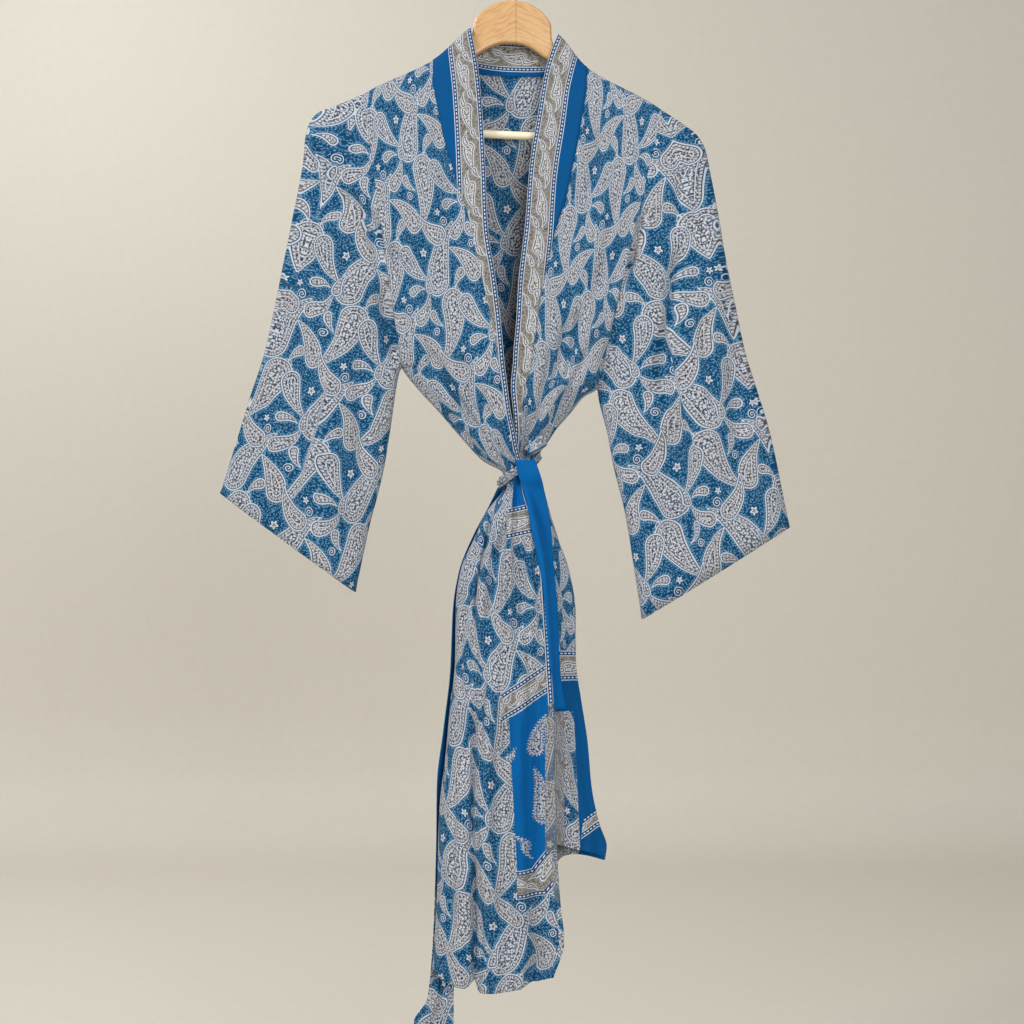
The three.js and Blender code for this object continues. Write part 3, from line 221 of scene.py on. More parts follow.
SLEEVE_RIGHT = (
    SleeveSection(-179.4, -171.1, -134.5, -493.9, 22),
    SleeveSection(-210.0, -184.1, -136.3, -496.2, 22),
    SleeveSection(-236.0, -195.3, -137.7, -499.8, 21),
    SleeveSection(-247.2, -216.6, -139.2, -505.7, 21),
    SleeveSection(-251.3, -254.3, -141.0, -515.1, 21),
    SleeveSection(-260.2, -301.5, -143.4, -531.6, 21),
    SleeveSection(-271.4, -357.0, -146.3, -552.9, 21),
    SleeveSection(-283.2, -416.0, -149.9, -576.5, 20),
    SleeveSection(-296.8, -477.4, -154.6, -606.0, 20),
    SleeveSection(-313.9, -529.3, -162.2, -640.2, 19),
    SleeveSection(-329.2, -580.0, -171.7, -675.6, 19),
    SleeveSection(-348.7, -641.4, -189.4, -758.2, 18),
)
SLEEVE_LEFT = (
    SleeveSection(171.8, -190.3, 95.6, -518.7, 22),
    SleeveSection(195.9, -206.0, 95.9, -519.8, 22),
    SleeveSection(213.6, -220.1, 96.3, -521.6, 21),
    SleeveSection(223.0, -236.6, 96.8, -525.7, 21),
    SleeveSection(230.1, -269.7, 98.5, -535.2, 21),
    SleeveSection(238.4, -313.3, 101.5, -547.0, 21),
    SleeveSection(247.8, -368.8, 105.0, -560.0, 21),
    SleeveSection(258.4, -419.5, 108.6, -575.3, 20),
    SleeveSection(270.2, -475.0, 113.3, -602.4, 20),
    SleeveSection(284.4, -521.0, 119.8, -629.6, 19),
    SleeveSection(298.5, -567.0, 127.4, -659.1, 19),
    SleeveSection(322.5, -681.5, 148.7, -790.1, 18),
)

# Levels at which a fold's place and depth are given: armpit, rib, belt, hip, knee, hem.
LEVELS = (-500, -560, -614, -730, -945, -1217)
FOLDS_RIGHT = (
    Fold(0.075, (0.10, 0.10, 0.12, 0.15, 0.12, 0.12), (0, -2.2, -2.0, -6, -3, -4)),
    Fold(0.075, (0.20, 0.22, 0.24, 0.27, 0.24, 0.33), (0, 2.0, 1.2, 3, -9, -10)),
    Fold(0.085, (0.34, 0.36, 0.38, 0.42, 0.40, 0.46), (0, -3.0, -2.0, -6, 4, 4)),
    Fold(0.075, (0.48, 0.50, 0.52, 0.56, 0.56, 0.58), (0, 2.4, 1.2, 4, -6, -5)),
    Fold(0.085, (0.60, 0.64, 0.66, 0.70, 0.70, 0.70), (0, -2.6, -2.0, -5, 4, 4)),
    Fold(0.075, (0.78, 0.78, 0.80, 0.83, 0.84, 0.82), (0, -1.2, -1.0, 2, -4, -6)),
)
FOLDS_LEFT = (
    Fold(0.11, (0.18, 0.18, 0.20, 0.20, 0.20, 0.20), (0, -2.2, -1.6, -3, -4, -5)),
    Fold(0.12, (0.40, 0.42, 0.42, 0.34, 0.34, 0.34), (0, 2.2, 1.0, 0, -3, -6)),
    Fold(0.12, (0.62, 0.62, 0.62, 0.70, 0.68, 0.66), (0, -2.4, -1.6, -2, -5, -7)),
)
FOLDS_BACK = (
    Fold(0.045, (0.12, 0.13, 0.14, 0.13, 0.12, 0.12), (0, -2.6, -2.0, -6, -7, -8)),
    Fold(0.050, (0.26, 0.27, 0.28, 0.27, 0.27, 0.26), (0, -3.0, -2.0, -7, -9, -9)),
    Fold(0.050, (0.40, 0.41, 0.42, 0.41, 0.42, 0.42), (0, -2.6, -2.0, -6, -8, -10)),
    Fold(0.050, (0.55, 0.56, 0.56, 0.56, 0.57, 0.58), (0, -3.2, -2.0, -7, -10, -9)),
    Fold(0.050, (0.70, 0.70, 0.70, 0.71, 0.71, 0.72), (0, -2.6, -2.0, -6, -8, -10)),
    Fold(0.045, (0.85, 0.84, 0.83, 0.85, 0.86, 0.86), (0, -2.4, -2.0, -6, -7, -7)),
)
# Small gathers between the large folds, too fine for the solids.
FINE_RIGHT = (
    Fold(0.022, (0.06, 0.06, 0.06, 0.06, 0.05, 0.05), (0, -1.0, -0.9, -1.5, -1, 0)),
    Fold(0.022, (0.15, 0.16, 0.18, 0.21, 0.19, 0.24), (0, -1.2, -1.0, -2.2, -1, -1)),
    Fold(0.022, (0.26, 0.28, 0.31, 0.34, 0.32, 0.38), (0, -1.4, -1.0, -1.4, -2, -1.5)),
    Fold(0.020, (0.41, 0.43, 0.45, 0.49, 0.48, 0.52), (0, -1.4, -1.0, -2.4, -1.8, -1)),
    Fold(0.022, (0.55, 0.57, 0.59, 0.63, 0.62, 0.64), (0, -1.2, -1.0, -1.6, 1.8, 1.6)),
    Fold(0.022, (0.69, 0.71, 0.73, 0.76, 0.77, 0.76), (0, -1.6, -1.0, -2.2, -1.6, -1)),
    Fold(0.020, (0.85, 0.86, 0.87, 0.90, 0.91, 0.90), (0, -0.9, -0.8, -1.6, -1.6, -2)),
)
FINE_LEFT = (
    Fold(0.030, (0.10, 0.10, 0.10, 0.10, 0.10, 0.10), (0, -1.2, -0.8, -1, -1, -1)),
    Fold(0.030, (0.29, 0.30, 0.31, 0.28, 0.28, 0.28), (0, -1.4, -0.8, -1, -1, -1)),
    Fold(0.028, (0.51, 0.52, 0.52, 0.52, 0.52, 0.50), (0, -1.4, -0.8, -1, -1.4, -2)),
    Fold(0.028, (0.74, 0.74, 0.74, 0.80, 0.80, 0.80), (0, -1.2, -0.8, -1.4, -2.2, -3)),
)
FINE_BACK = (
    Fold(0.018, (0.07, 0.07, 0.07, 0.07, 0.07, 0.07), (0, -1.0, -0.8, -1.4, -1.4, -1)),
    Fold(0.018, (0.19, 0.20, 0.21, 0.20, 0.20, 0.19), (0, -1.2, -0.8, -1.6, -2, -1.4)),
    Fold(0.018, (0.33, 0.34, 0.35, 0.34, 0.35, 0.34), (0, -1.4, -0.8, -1.4, -1.4, -2)),
    Fold(0.018, (0.47, 0.48, 0.49, 0.49, 0.49, 0.50), (0, -1.2, -0.8, -1.8, -2, -1.6)),
    Fold(0.018, (0.63, 0.63, 0.63, 0.63, 0.64, 0.65), (0, -1.4, -0.8, -1.4, -1.4, -2)),
    Fold(0.018, (0.78, 0.77, 0.77, 0.78, 0.79, 0.79), (0, -1.2, -0.8, -1.6, -2, -1.4)),
    Fold(0.018, (0.92, 0.92, 0.92, 0.92, 0.93, 0.93), (0, -1.0, -0.8, -1.4, -1.4, -1)),
)

CREASES_FRONT = (
    Crease(-238, -230, -204, -326, 13, 3.5),
    Crease(-204, -286, -136, -374, 14, 5),
    Crease(-138, -372, -88, -460, 12, 5),
    Crease(-66, -483, -34, -553, 9, 4),
    Crease(-160, -402, -140, -480, 12, 4),
    Crease(-120, -200, -96, -330, 18, -3.5),
    Crease(74, -428, 50, -508, 10, 4),
    Crease(149, -311, 112, -410, 14, 4.5),
    Crease(190, -356, 172, -545, 13, 4.5),
    Crease(176, -560, 206, -700, 12, 4),
    Crease(230, -300, 226, -620, 20, -4),
    Crease(-270, -440, -250, -640, 20, 4),
    Crease(-210, -470, -216, -690, 18, -3.5),
)
# Short creases of the soft cloth, too fine for the solids.
FINE_CREASES_FRONT = (
    Crease(-204, -286, -170, -318, 5, 2.6), Crease(-170, -318, -136, -374, 5, 2.4),
    Crease(-152, -300, -104, -398, 6, 1.8), Crease(-130, -420, -92, -500, 5, 2.2),
    Crease(-104, -470, -58, -548, 5, 2.2), Crease(-86, -500, -46, -566, 4, 2.0),
    Crease(-128, -505, -72, -560, 5, 2.0), Crease(-160, -402, -142, -486, 5, 2.4),
    Crease(-176, -300, -150, -430, 7, 1.6), Crease(-238, -230, -222, -290, 6, 2.0),
    Crease(-196, -210, -176, -270, 7, 1.4), Crease(-82, -260, -66, -380, 8, 1.4),
    Crease(-238, -360, -214, -470, 7, 1.8), Crease(-186, -480, -178, -640, 7, 1.8),
    Crease(-232, -520, -236, -690, 8, 1.6), Crease(-290, -520, -300, -610, 7, 1.6),
    Crease(74, -428, 58, -512, 4, 2.6), Crease(60, -440, 36, -540, 5, 2.2),
    Crease(88, -470, 48, -546, 5, 2.2), Crease(42, -470, 24, -560, 4, 1.8),
    Crease(149, -311, 132, -386, 5, 2.4), Crease(140, -361, 112, -410, 5, 2.4),
    Crease(120, -290, 92, -420, 7, 1.6), Crease(190, -356, 180, -424, 5, 2.6),
    Crease(180, -424, 166, -500, 5, 2.4), Crease(166, -500, 198, -575, 5, 2.2),
    Crease(198, -575, 200, -640, 5, 2.2), Crease(200, -640, 214, -716, 5, 2.0),
    Crease(216, -420, 232, -560, 7, 1.8), Crease(250, -470, 262, -620, 8, 1.6),
    Crease(150, -560, 172, -700, 7, 1.8), Crease(196, -262, 186, -340, 6, 1.6),
    Crease(100, -212, 84, -300, 8, 1.4), Crease(120, -450, 108, -540, 5, 1.6),
)
# Narrow pleats that hang from the belt on the front of the skirt.
PLEATS_FRONT = (
    Crease(-28, -656, -46, -752, 4.2, 10), Crease(-46, -752, -52, -800, 3, 5),
    Crease(-10, -672, -28, -722, 2.8, 5.4), Crease(-28, -722, -34, -790, 2.6, 4.2),
    Crease(-7, -716, -13, -820, 2.4, 3.4), Crease(8, -700, 6, -800, 2.6, 2.6),
    Crease(-62, -766, -66, -886, 2.4, 3.6), Crease(-56, -800, -57, -880, 2.0, 2.8),
    Crease(-45, -812, -50, -912, 2.4, 3.6), Crease(-57, -874, -62, -958, 2.2, 3.2),
    Crease(-52, -886, -54, -1062, 3.0, 7), Crease(-51, -1050, -50, -1216, 2.8, 9),
    Crease(-38, -860, -40, -1000, 3.0, 3.0), Crease(-24, -900, -26, -1080, 3.6, 2.8),
    Crease(-72, -980, -76, -1150, 3.4, 3.2), Crease(-2.4, -1024, -2.4, -1112, 1.3, 1.6),
    Crease(10, -900, 12, -1010, 4.0, 2.6), Crease(22, -930, 27, -1040, 3.4, 2.6),
    Crease(16, -1120, 34, -1204, 6, 4), Crease(-22, -1126, -31, -1226, 5, 3.6),
    Crease(4, -1130, 0, -1220, 5, 3.0), Crease(-18, -640, -26, -700, 2.2, 3.0),
    Crease(0, -640, -4, -700, 2.0, 2.4), Crease(-34, -690, -52, -780, 2.2, 2.6),
)
CREASES_BACK = (
    Crease(-150, -330, -60, -520, 13, 3.5), Crease(-120, -440, -40, -580, 9, 3.0),
    Crease(-60, -380, -16, -590, 8, 2.4), Crease(-20, -300, 2, -560, 12, 1.8),
    Crease(60, -380, 20, -590, 8, 2.4), Crease(96, -440, 34, -570, 9, 3.0),
    Crease(130, -330, 52, -520, 13, 3.5), Crease(-120, -190, -110, -330, 16, -2.0),
    Crease(110, -210, 100, -340, 16, -2.0), Crease(-200, -290, -150, -420, 11, 3.0),
    Crease(-232, -380, -226, -620, 12, 2.8), Crease(-190, -480, -200, -700, 9, 2.4),
    Crease(-282, -470, -290, -620, 9, 2.0), Crease(180, -310, 130, -440, 11, 3.0),
    Crease(206, -400, 196, -660, 12, 2.8), Crease(160, -520, 176, -730, 9, 2.4),
    Crease(256, -440, 268, -640, 9, 2.0), Crease(-40, -230, -30, -330, 12, 1.2),
)

# Hem of the right front: place across, dip below the straight line.
HEM_WAVE = (
    (0, -4), (0.12, 6), (0.27, 10), (0.335, 2), (0.4, 13), (0.55, 15), (0.7, 11),
    (0.85, 4), (1, 0),
)

# Neck at the back: seam x, z, free edge x, z, depth.
BACK_NECK = (
    (-95.8, -134.2, -51.9, -96.2, 8),
    (-90.0, -137.0, -49.6, -102.1, 9.5),
    (-48.0, -143.5, -28.0, -106.0, 10),
    (-4.7, -147.0, -3.5, -106.8, 10),
    (38.0, -146.5, 24.0, -108.5, 10),
    (76.6, -142.0, 47.2, -109.2, 9.5),
    (81.6, -140.0, 49.0, -103.9, 8),
)

# Belt ends: left edge, right edge, height.
TAIL_FRONT = (
    (-2.0, 22.0, -603), (4.1, 30.1, -626), (11.8, 35.4, -650), (17.1, 40.7, -682),
    (23.6, 43.1, -713), (29.5, 45.4, -742), (34.2, 49.0, -785), (37.8, 50.4, -831),
    (42.5, 53.0, -864), (44.5, 58.0, -892),
)
TAIL_SIDE = (
    (-18, 6, -628), (-34, -8, -660), (-50, -24, -690), (-68, -42, -735),
    (-75, -48, -780), (-78, -51, -850), (-86, -60, -920), (-94, -68, -990),
    (-95, -68, -1060), (-97, -70, -1130), (-100, -73, -1190), (-105, -74, -1240),
    (-121, -74, -1268), (-120, -76, -1292),
)


# ---- small sums -------------------------------------------------------------


def mix(start: float, end: float, share: float) -> float:
    """Value at a share of the way from start to end."""
    return start + (end - start) * share


def clamp(value: float) -> float:
    """Value held between 0 and 1."""
    return 0.0 if value < 0.0 else 1.0 if value > 1.0 else value


def smooth(value: float) -> float:
    """Soft step from 0 to 1."""
    held = clamp(value)
    return held * held * (3.0 - 2.0 * held)


class Curve:
    """Smooth line through a column of numbers that never overshoots a row."""

    def __init__(self, values: Sequence[float]) -> None:
        """Keep the values and work out the slope at each row.

        Args:
            values: one number for each row of the table.
        """
        self.values = tuple(float(value) for value in values)
        steps = [b - a for a, b in zip(self.values, self.values[1:])]
        slopes = [steps[0]]
        for before, after in zip(steps, steps[1:]):
            level = before * after <= 0
            slopes.append(0.0 if level else 2 * before * after / (before + after))
        slopes.append(steps[-1])
        self.slopes = slopes

    def at(self, place: float) -> float:
        """Value at a place between the rows.

        Args:
            place: row number, with a fraction.

        Returns:
            The value there.
        """
        row = min(len(self.values) - 2, max(0, int(place)))
        t = place - row
        t2 = t * t
        t3 = t2 * t
        return ((2 * t3 - 3 * t2 + 1) * self.values[row]
                + (t3 - 2 * t2 + t) * self.slopes[row]
                + (3 * t2 - 2 * t3) * self.values[row + 1]
                + (t3 - t2) * self.slopes[row + 1])


def level_value(values: Sequence[float], z: float) -> float:
    """Value of a fold's column at a height.

    Args:
        values: one number for each of LEVELS.
        z: height in millimetres.

    Returns:
        The value at that height.
    """
    if z >= LEVELS[0]:
        return values[0]
    for i in range(1, len(LEVELS)):
        if z >= LEVELS[i]:
            share = (z - LEVELS[i - 1]) / (LEVELS[i] - LEVELS[i - 1])
            return mix(values[i - 1], values[i], smooth(share))
    return values[-1]


def fold_depth(folds: Sequence[tuple[float, float, float]], across: float) -> float:
    """Sum of the gathers at one place across a panel.

    Args:
        folds: place, reach and depth of each fold on this row.
        across: place across the panel, 0 at the side seam.

    Returns:
        How far the cloth stands out, in millimetres.
    """
    total = 0.0
    for place, reach, depth in folds:
        away = abs(across - place) / reach
        if away < 1:
            total += depth * math.cos(away * math.pi / 2) ** 2
    return total * smooth(across / 0.07) * smooth((1 - across) / 0.07)


def folds_at(folds: Sequence[Fold], z: float) -> list[tuple[float, float, float]]:
    """Place, reach and depth of each fold at a height."""
    return [(level_value(f.across, z), f.half * 1.5, level_value(f.depth, z)) for f in folds]


def crease_depth(creases: Sequence[Crease], x: float, z: float) -> float:
    """How far the drag creases pull the cloth in at a point.

    Args:
        creases: the lines to sum.
        x: across, in millimetres.
        z: height, in millimetres.

    Returns:
        Depth in millimetres, over zero in a trough.
    """
    total = 0.0
    for c in creases:
        dx = c.x1 - c.x0
        dz = c.z1 - c.z0
        t = clamp(((x - c.x0) * dx + (z - c.z0) * dz) / (dx * dx + dz * dz))
        gap = math.hypot(x - c.x0 - t * dx, z - c.z0 - t * dz) / c.half
        if gap < 3:
            ends = smooth(4 * t + 0.3) * smooth(4 * (1 - t) + 0.3)
            total += c.depth * math.exp(-gap * gap) * ends
    return total


def ripple(x: float, z: float, seed: float) -> float:
    """Slight unevenness of hanging cloth, in millimetres.

    Args:
        x: across, in millimetres.
        z: height, in millimetres.
        seed: picks the piece's own ripples.

    Returns:
        How far the cloth stands out.
    """
    broad = noise.noise(Vector((x / 34, z / 60, seed)))
    small = noise.noise(Vector((x / 11, z / 19, seed + 7.3)))
    return 0.9 * broad + 0.35 * small


# ---- the form that every cloth piece is cut from ----------------------------------


@dataclass
class RobeForm:
    """The hanging shape of the whole robe, from the tables of sections."""

    seam: float = 0.2
    armhole_depth: float = 22.0
    lens_power: float = 0.6
    panel_round: float = 2.3
    stand_right: float = 10.6
    stand_left: float = 14.0

    def __post_init__(self) -> None:
        """Put the upper and lower sections into one set of smooth columns."""
        rows = [self._upper_row(section) for section in UPPER]
        rows += [self._lower_row(section) for section in LOWER]
        self.curves = {name: Curve([row[name] for row in rows]) for name in rows[0]}
        self.top_right = self.section(0.0)

    def drop(self, turn: float) -> float:
        """Share of the armhole's height at a turn of its ring."""
        return (1 - math.cos(math.radians(turn))) / 2

    def lens(self, turn: float) -> float:
        """Share of the armhole's depth at a turn of its ring."""
        return abs(math.sin(math.radians(turn))) ** self.lens_power

    def round(self, share: float) -> float:
        """Rounded rise from a side seam to the crest of a panel."""
        past = max(0.0, 1 - clamp(1 - share) ** self.panel_round)
        return past ** (1 / self.panel_round)

    def _upper_row(self, section: UpperSection) -> dict[str, float]:
        """Columns of a section above the armpit.

        Args:
            section: the table's row.

        Returns:
            Every column by name.
        """
        share = self.drop(section.turn)
        right, left = SLEEVE_RIGHT[0], SLEEVE_LEFT[0]
        low = LOWER[0]
        return {
            "turn": section.turn,
            "right_side_x": mix(right.out_x, right.in_x, share),
            "right_side_z": mix(right.out_z, right.in_z, share),
            "left_side_x": mix(left.out_x, left.in_x, share),
            "left_side_z": mix(left.out_z, left.in_z, share),
            "right_edge_x": section.right_x, "right_edge_z": section.right_z,
            "left_edge_x": section.left_x, "left_edge_z": section.left_z,
            "side": self.armhole_depth * self.lens(section.turn),
            "front": section.depth, "back": section.depth * BACK_SHARE,
            "under": 0.0, "edge": 1.0, "wrap": 0.0,
            "right_band": section.right_band, "left_band": section.left_band,
            "stand": 1 - smooth(section.turn / 60),
            "nose_x": low.nose_x, "nose_z": low.nose_z, "nose_y": low.nose_y,
            "return_x": low.return_x, "return_z": low.return_z, "return_y": low.return_y,
        }

    def _lower_row(self, section: LowerSection) -> dict[str, float]:
        """Columns of a section below the armpit."""
        row = {item.name: getattr(section, item.name) for item in fields(section)}
        return row | {"turn": 180.0, "side": 0.0, "stand": 0.0, "wrap": 0.3}

    def section(self, place: float) -> SimpleNamespace:
        """All columns at a place between the rows.

        Args:
            place: row number with a fraction, 0 on the shoulder.

        Returns:
            The columns, with the armhole's own line kept exact.
        """
        row = SimpleNamespace(**{name: curve.at(place) for name, curve in self.curves.items()})
        row.place = place
        row.upper = place <= len(UPPER) - 1
        row.flap = clamp(place - BELT_FOOT_ROW)
        row.hem = clamp(place - HEM_ROW + 1)
        if row.upper:
            share = self.drop(row.turn)
            right, left = SLEEVE_RIGHT[0], SLEEVE_LEFT[0]
            row.right_side_x = mix(right.out_x, right.in_x, share)
            row.right_side_z = mix(right.out_z, right.in_z, share)
            row.left_side_x = mix(left.out_x, left.in_x, share)
            row.left_side_z = mix(left.out_z, left.in_z, share)
            row.side = self.armhole_depth * self.lens(row.turn)
        row.right_seam = self._right_seam(row)
        row.left_seam = self._left_seam(row)
        middle = (row.right_side_z + row.right_edge_z) / 2
        row.folds_right = folds_at(FOLDS_RIGHT, middle) + folds_at(FINE_RIGHT, middle)
        middle = (row.left_side_z + row.left_edge_z) / 2
        row.folds_left = folds_at(FOLDS_LEFT, middle) + folds_at(FINE_LEFT, middle)
        middle = (row.right_side_z + row.left_side_z) / 2
        row.folds_back = folds_at(FOLDS_BACK, middle) + folds_at(FINE_BACK, middle)
        return row

    def _right_seam(self, row: SimpleNamespace) -> float:
        """Share across the right front where the neckband starts."""
        width = row.right_edge_x - row.right_side_x + row.wrap * row.front
        return 1 - row.right_band / width

    def _left_seam(self, row: SimpleNamespace) -> float:
        """Share across the left front where the neckband starts.

        Args:
            row: the section.

        Returns:
            The share, 0 at the side seam.
        """
        plain = row.left_side_x - row.left_edge_x
        flap = 2 * row.nose_x - row.left_side_x - row.left_edge_x + FLAP_SLACK
        return 1 - row.left_band / mix(plain, flap, row.flap)

    def _stand_dip(self, row: SimpleNamespace, across: float, seam: float, depth: float) -> float:
        """How far the shoulder line dips where the collar starts to stand."""
        share = across / seam if across < seam else (1 - across) / (1 - seam)
        return depth * row.stand * smooth(share)

    def _pull(self, row: SimpleNamespace, x: float, z: float, across: float) -> float:
        """Creases and ripples of a front, faded out at its seams.

        Args:
            row: the section.
            x: across, in millimetres.
            z: height, in millimetres.
            across: share across the panel.

        Returns:
            How far the cloth is pulled in.
        """
        side = smooth(across / (0.12 if row.upper else 0.2)) * smooth((1 - across) / 0.2)
        ridge = smooth(row.place / 1.2)
        if z < PLEAT_LEVEL:
            side = smooth(across / 0.06) * smooth((1 - across) / 0.05)
            large = crease_depth(PLEATS_FRONT, x, z)
        else:
            fine_creases = crease_depth(FINE_CREASES_FRONT, x, z)
            large = CREASE_GAIN * crease_depth(CREASES_FRONT, x, z) + FINE_GAIN_BODY * fine_creases
        fine = RIPPLE_GAIN * ripple(x, z, 1.7)
        fine = fine * smooth(across / 0.05) * smooth((1 - across) / 0.05)
        return large * side * ridge + fine * ridge

    def right_front(self, row: SimpleNamespace, across: float) -> Vector:
        """Point of the over-lapping right front.

        Args:
            row: the section.
            across: 0 at the side seam, 1 at the free edge.

        Returns:
            The point in millimetres.
        """
        crest = mix(1.0, 0.55, clamp((1 - row.edge) / 0.02))
        x = mix(row.right_side_x, row.right_edge_x, across)
        rise = self._stand_dip(row, across, row.right_seam, self.stand_right)
        z = mix(row.right_side_z, row.right_edge_z, across) - rise - row.hem * hem_dip(across)
        body = row.side + (row.front - row.side) * self.round(across / crest)
        past = smooth((across - crest) / (1.0001 - crest))
        depth = body - row.front * (1 - row.edge) * past
        fold = fold_depth(row.folds_right, across)
        outward = clamp(0.35 + 1.2 * across)
        side_push = 0.0 if row.upper else fold * (1 - outward)
        pull = self._pull(row, x, z, across)
        return Vector((x - side_push, -(depth + fold * outward - pull) - self.seam, z))

    def _left_plain(self, row: SimpleNamespace, across: float) -> Vector:
        """Point of the left front above the flap.

        Args:
            row: the section.
            across: 0 at the side seam, 1 at the free edge.

        Returns:
            The point in millimetres.
        """
        x = mix(row.left_side_x, row.left_edge_x, across)
        rise = self._stand_dip(row, across, row.left_seam, self.stand_left)
        z = mix(row.left_side_z, row.left_edge_z, across) - rise
        depth = row.side + (row.front - row.under - row.side) * self.round(across)
        fold = fold_depth(row.folds_left, across)
        return Vector((x, -(depth + fold - self._pull(row, x, z, across)) - self.seam, z))

    def _left_flap(self, row: SimpleNamespace, across: float) -> Vector:
        """Point of the left front where its lower corner swings out.

        Args:
            row: the section.
            across: 0 at the side seam, 1 at the free edge.

        Returns:
            The point in millimetres.
        """
        edge_y = row.front * row.edge - row.under
        x = through(across, (row.left_side_x, row.return_x, row.nose_x, row.left_edge_x))
        z = through(across, (row.left_side_z, row.return_z, row.nose_z, row.left_edge_z))
        y = through(across, (0.0, row.return_y, row.nose_y, edge_y))
        fold = fold_depth(row.folds_left, across) * smooth((across - 0.58) * 8)
        fine = ripple(x, z, 4.1) * smooth(across / 0.05) * smooth((1 - across) / 0.05)
        return Vector((x, -(y + fold + fine) - self.seam, z))

    def left_front(self, row: SimpleNamespace, across: float) -> Vector:
        """Point of the under-lapping left front, 0 at the side seam.

        Args:
            row: the section.
            across: 0 at the side seam, 1 at the free edge.

        Returns:
            The point in millimetres.
        """
        if row.flap == 0:
            return self._left_plain(row, across)
        if row.flap == 1:
            return self._left_flap(row, across)
        return self._left_plain(row, across).lerp(self._left_flap(row, across), row.flap)

    def back_top(self, across: float) -> Vector:
        """Point of the back's top edge: shoulder, neck seam, shoulder.

        Args:
            across: 0 at the right armhole, 1 at the left one.

        Returns:
            The point in millimetres.
        """
        row = self.top_right
        x = mix(row.right_side_x, row.left_side_x, across)
        seam_right = self.right_front(row, row.right_seam)
        seam_left = self.left_front(row, row.left_seam)
        if x <= seam_right.x:
            share = (x - row.right_side_x) / (row.right_edge_x - row.right_side_x)
            return Vector((x, 0, self.right_front(row, share).z))
        if x >= seam_left.x:
            share = (x - row.left_side_x) / (row.left_edge_x - row.left_side_x)
            return Vector((x, 0, self.left_front(row, share).z))
        line = [(seam_right.x, 0.0, seam_right.z)]
        line += [(seam_x, y, seam_z) for seam_x, seam_z, _, _, y in BACK_NECK]
        line.append((seam_left.x, 0.0, seam_left.z))
        for start, end in zip(line, line[1:]):
            if x <= end[0]:
                share = (x - start[0]) / (end[0] - start[0])
                y = mix(start[1], end[1], share)
                return Vector((x, y, mix(start[2], end[2], share) - 3 * self.seam))
        return Vector((x, 0, seam_left.z))

    def back(self, row: SimpleNamespace, across: float, top: Vector) -> Vector:
        """Point of the back.

        Args:
            row: the section.
            across: 0 at the right side, 1 at the left side.
            top: the back's top edge at the same place across.

        Returns:
            The point in millimetres.
        """
        x = mix(row.right_side_x, row.left_side_x, across)
        z = mix(row.right_side_z, row.left_side_z, across)
        middle = self.round(1 - abs(2 * across - 1))
        y = row.side + (row.back - row.side) * middle
        if row.upper:
            share = self.drop(row.turn)
            foot = mix(SLEEVE_RIGHT[0].in_z, SLEEVE_LEFT[0].in_z, across)
            z = mix(top.z, foot, share)
            y = math.hypot(top.y * (1 - share), y)
        ends = smooth(across / 0.06) * smooth((1 - across) / 0.06) * smooth(row.place / 1.2)
        pull = crease_depth(CREASES_BACK, x, z) - ripple(x, z, 9.2)
        fold = fold_depth(row.folds_back, across)
        return Vector((x, y + fold - pull * ends + self.seam, z))

    def sleeve(self, columns: dict[str, Curve], place: float, turn: float, seed: float) -> Vector:
        """Point of a sleeve.

        Args:
            columns: the sleeve table's smooth columns.
            place: section number with a fraction, 0 at the armhole.
            turn: degrees round the section, 0 on the outer fold, front first.
            seed: picks the sleeve's own ripples.

        Returns:
            The point in millimetres.
        """
        share = self.drop(turn)
        x = mix(columns["out_x"].at(place), columns["in_x"].at(place), share)
        z = mix(columns["out_z"].at(place), columns["in_z"].at(place), share)
        side = math.sin(math.radians(turn))
        tip = smooth(abs(side) * 2)
        start = mix(0.4, 1.0, clamp(place))
        half = columns["half"].at(place) * self.lens(turn)
        uneven = RIPPLE_GAIN * ripple(x, z, seed + (0 if side >= 0 else 3))
        uneven = uneven * tip * clamp(place * 3)
        if side >= 0:
            large = CREASE_GAIN * crease_depth(CREASES_FRONT, x, z) * start
            fine = FINE_GAIN_SLEEVE * crease_depth(FINE_CREASES_FRONT, x, z) * clamp(place * 3)
            return Vector((x, -(half - (large + fine) * tip + uneven), z))
        pull = crease_depth(CREASES_BACK, x, z) * clamp(place * 3)
        return Vector((x, half - pull * tip + uneven, z))


def hem_dip(across: float) -> float:
    """How far the right front's hem dips below a straight line.

    Args:
        across: 0 at the side seam, 1 at the free edge.

    Returns:
        The dip in millimetres.
    """
    for (start, low), (end, high) in zip(HEM_WAVE, HEM_WAVE[1:]):
        if across <= end:
            return mix(low, high, smooth((across - start) / (end - start)))
    return 0.0


def through(across: float, values: Sequence[float]) -> float:
    """Smooth line through four controls at 0, 0.3, 0.6 and 1.

    Args:
        across: share across the panel.
        values: the four controls.

    Returns:
        The value there.
    """
    at = (0.0, 0.3, 0.6, 1.0)
    i = 0 if across < at[1] else 1 if across < at[2] else 2
    slopes = (
        (values[1] - values[0]) / 0.3,
        (values[2] - values[0]) / 0.6,
        (values[3] - values[1]) / 0.7,
        (values[3] - values[2]) / 0.4,
    )
    span = at[i + 1] - at[i]
    t = (across - at[i]) / span
    t2 = t * t
    t3 = t2 * t
    return ((2 * t3 - 3 * t2 + 1) * values[i] + (t3 - 2 * t2 + t) * span * slopes[i]
            + (3 * t2 - 2 * t3) * values[i + 1] + (t3 - t2) * span * slopes[i + 1])


# ---- cloth meshes ----------------------------------------------------------------


def even(count: int) -> list[float]:
    """Even shares from 0 to 1, both ends included."""
    return [i / count for i in range(count + 1)]


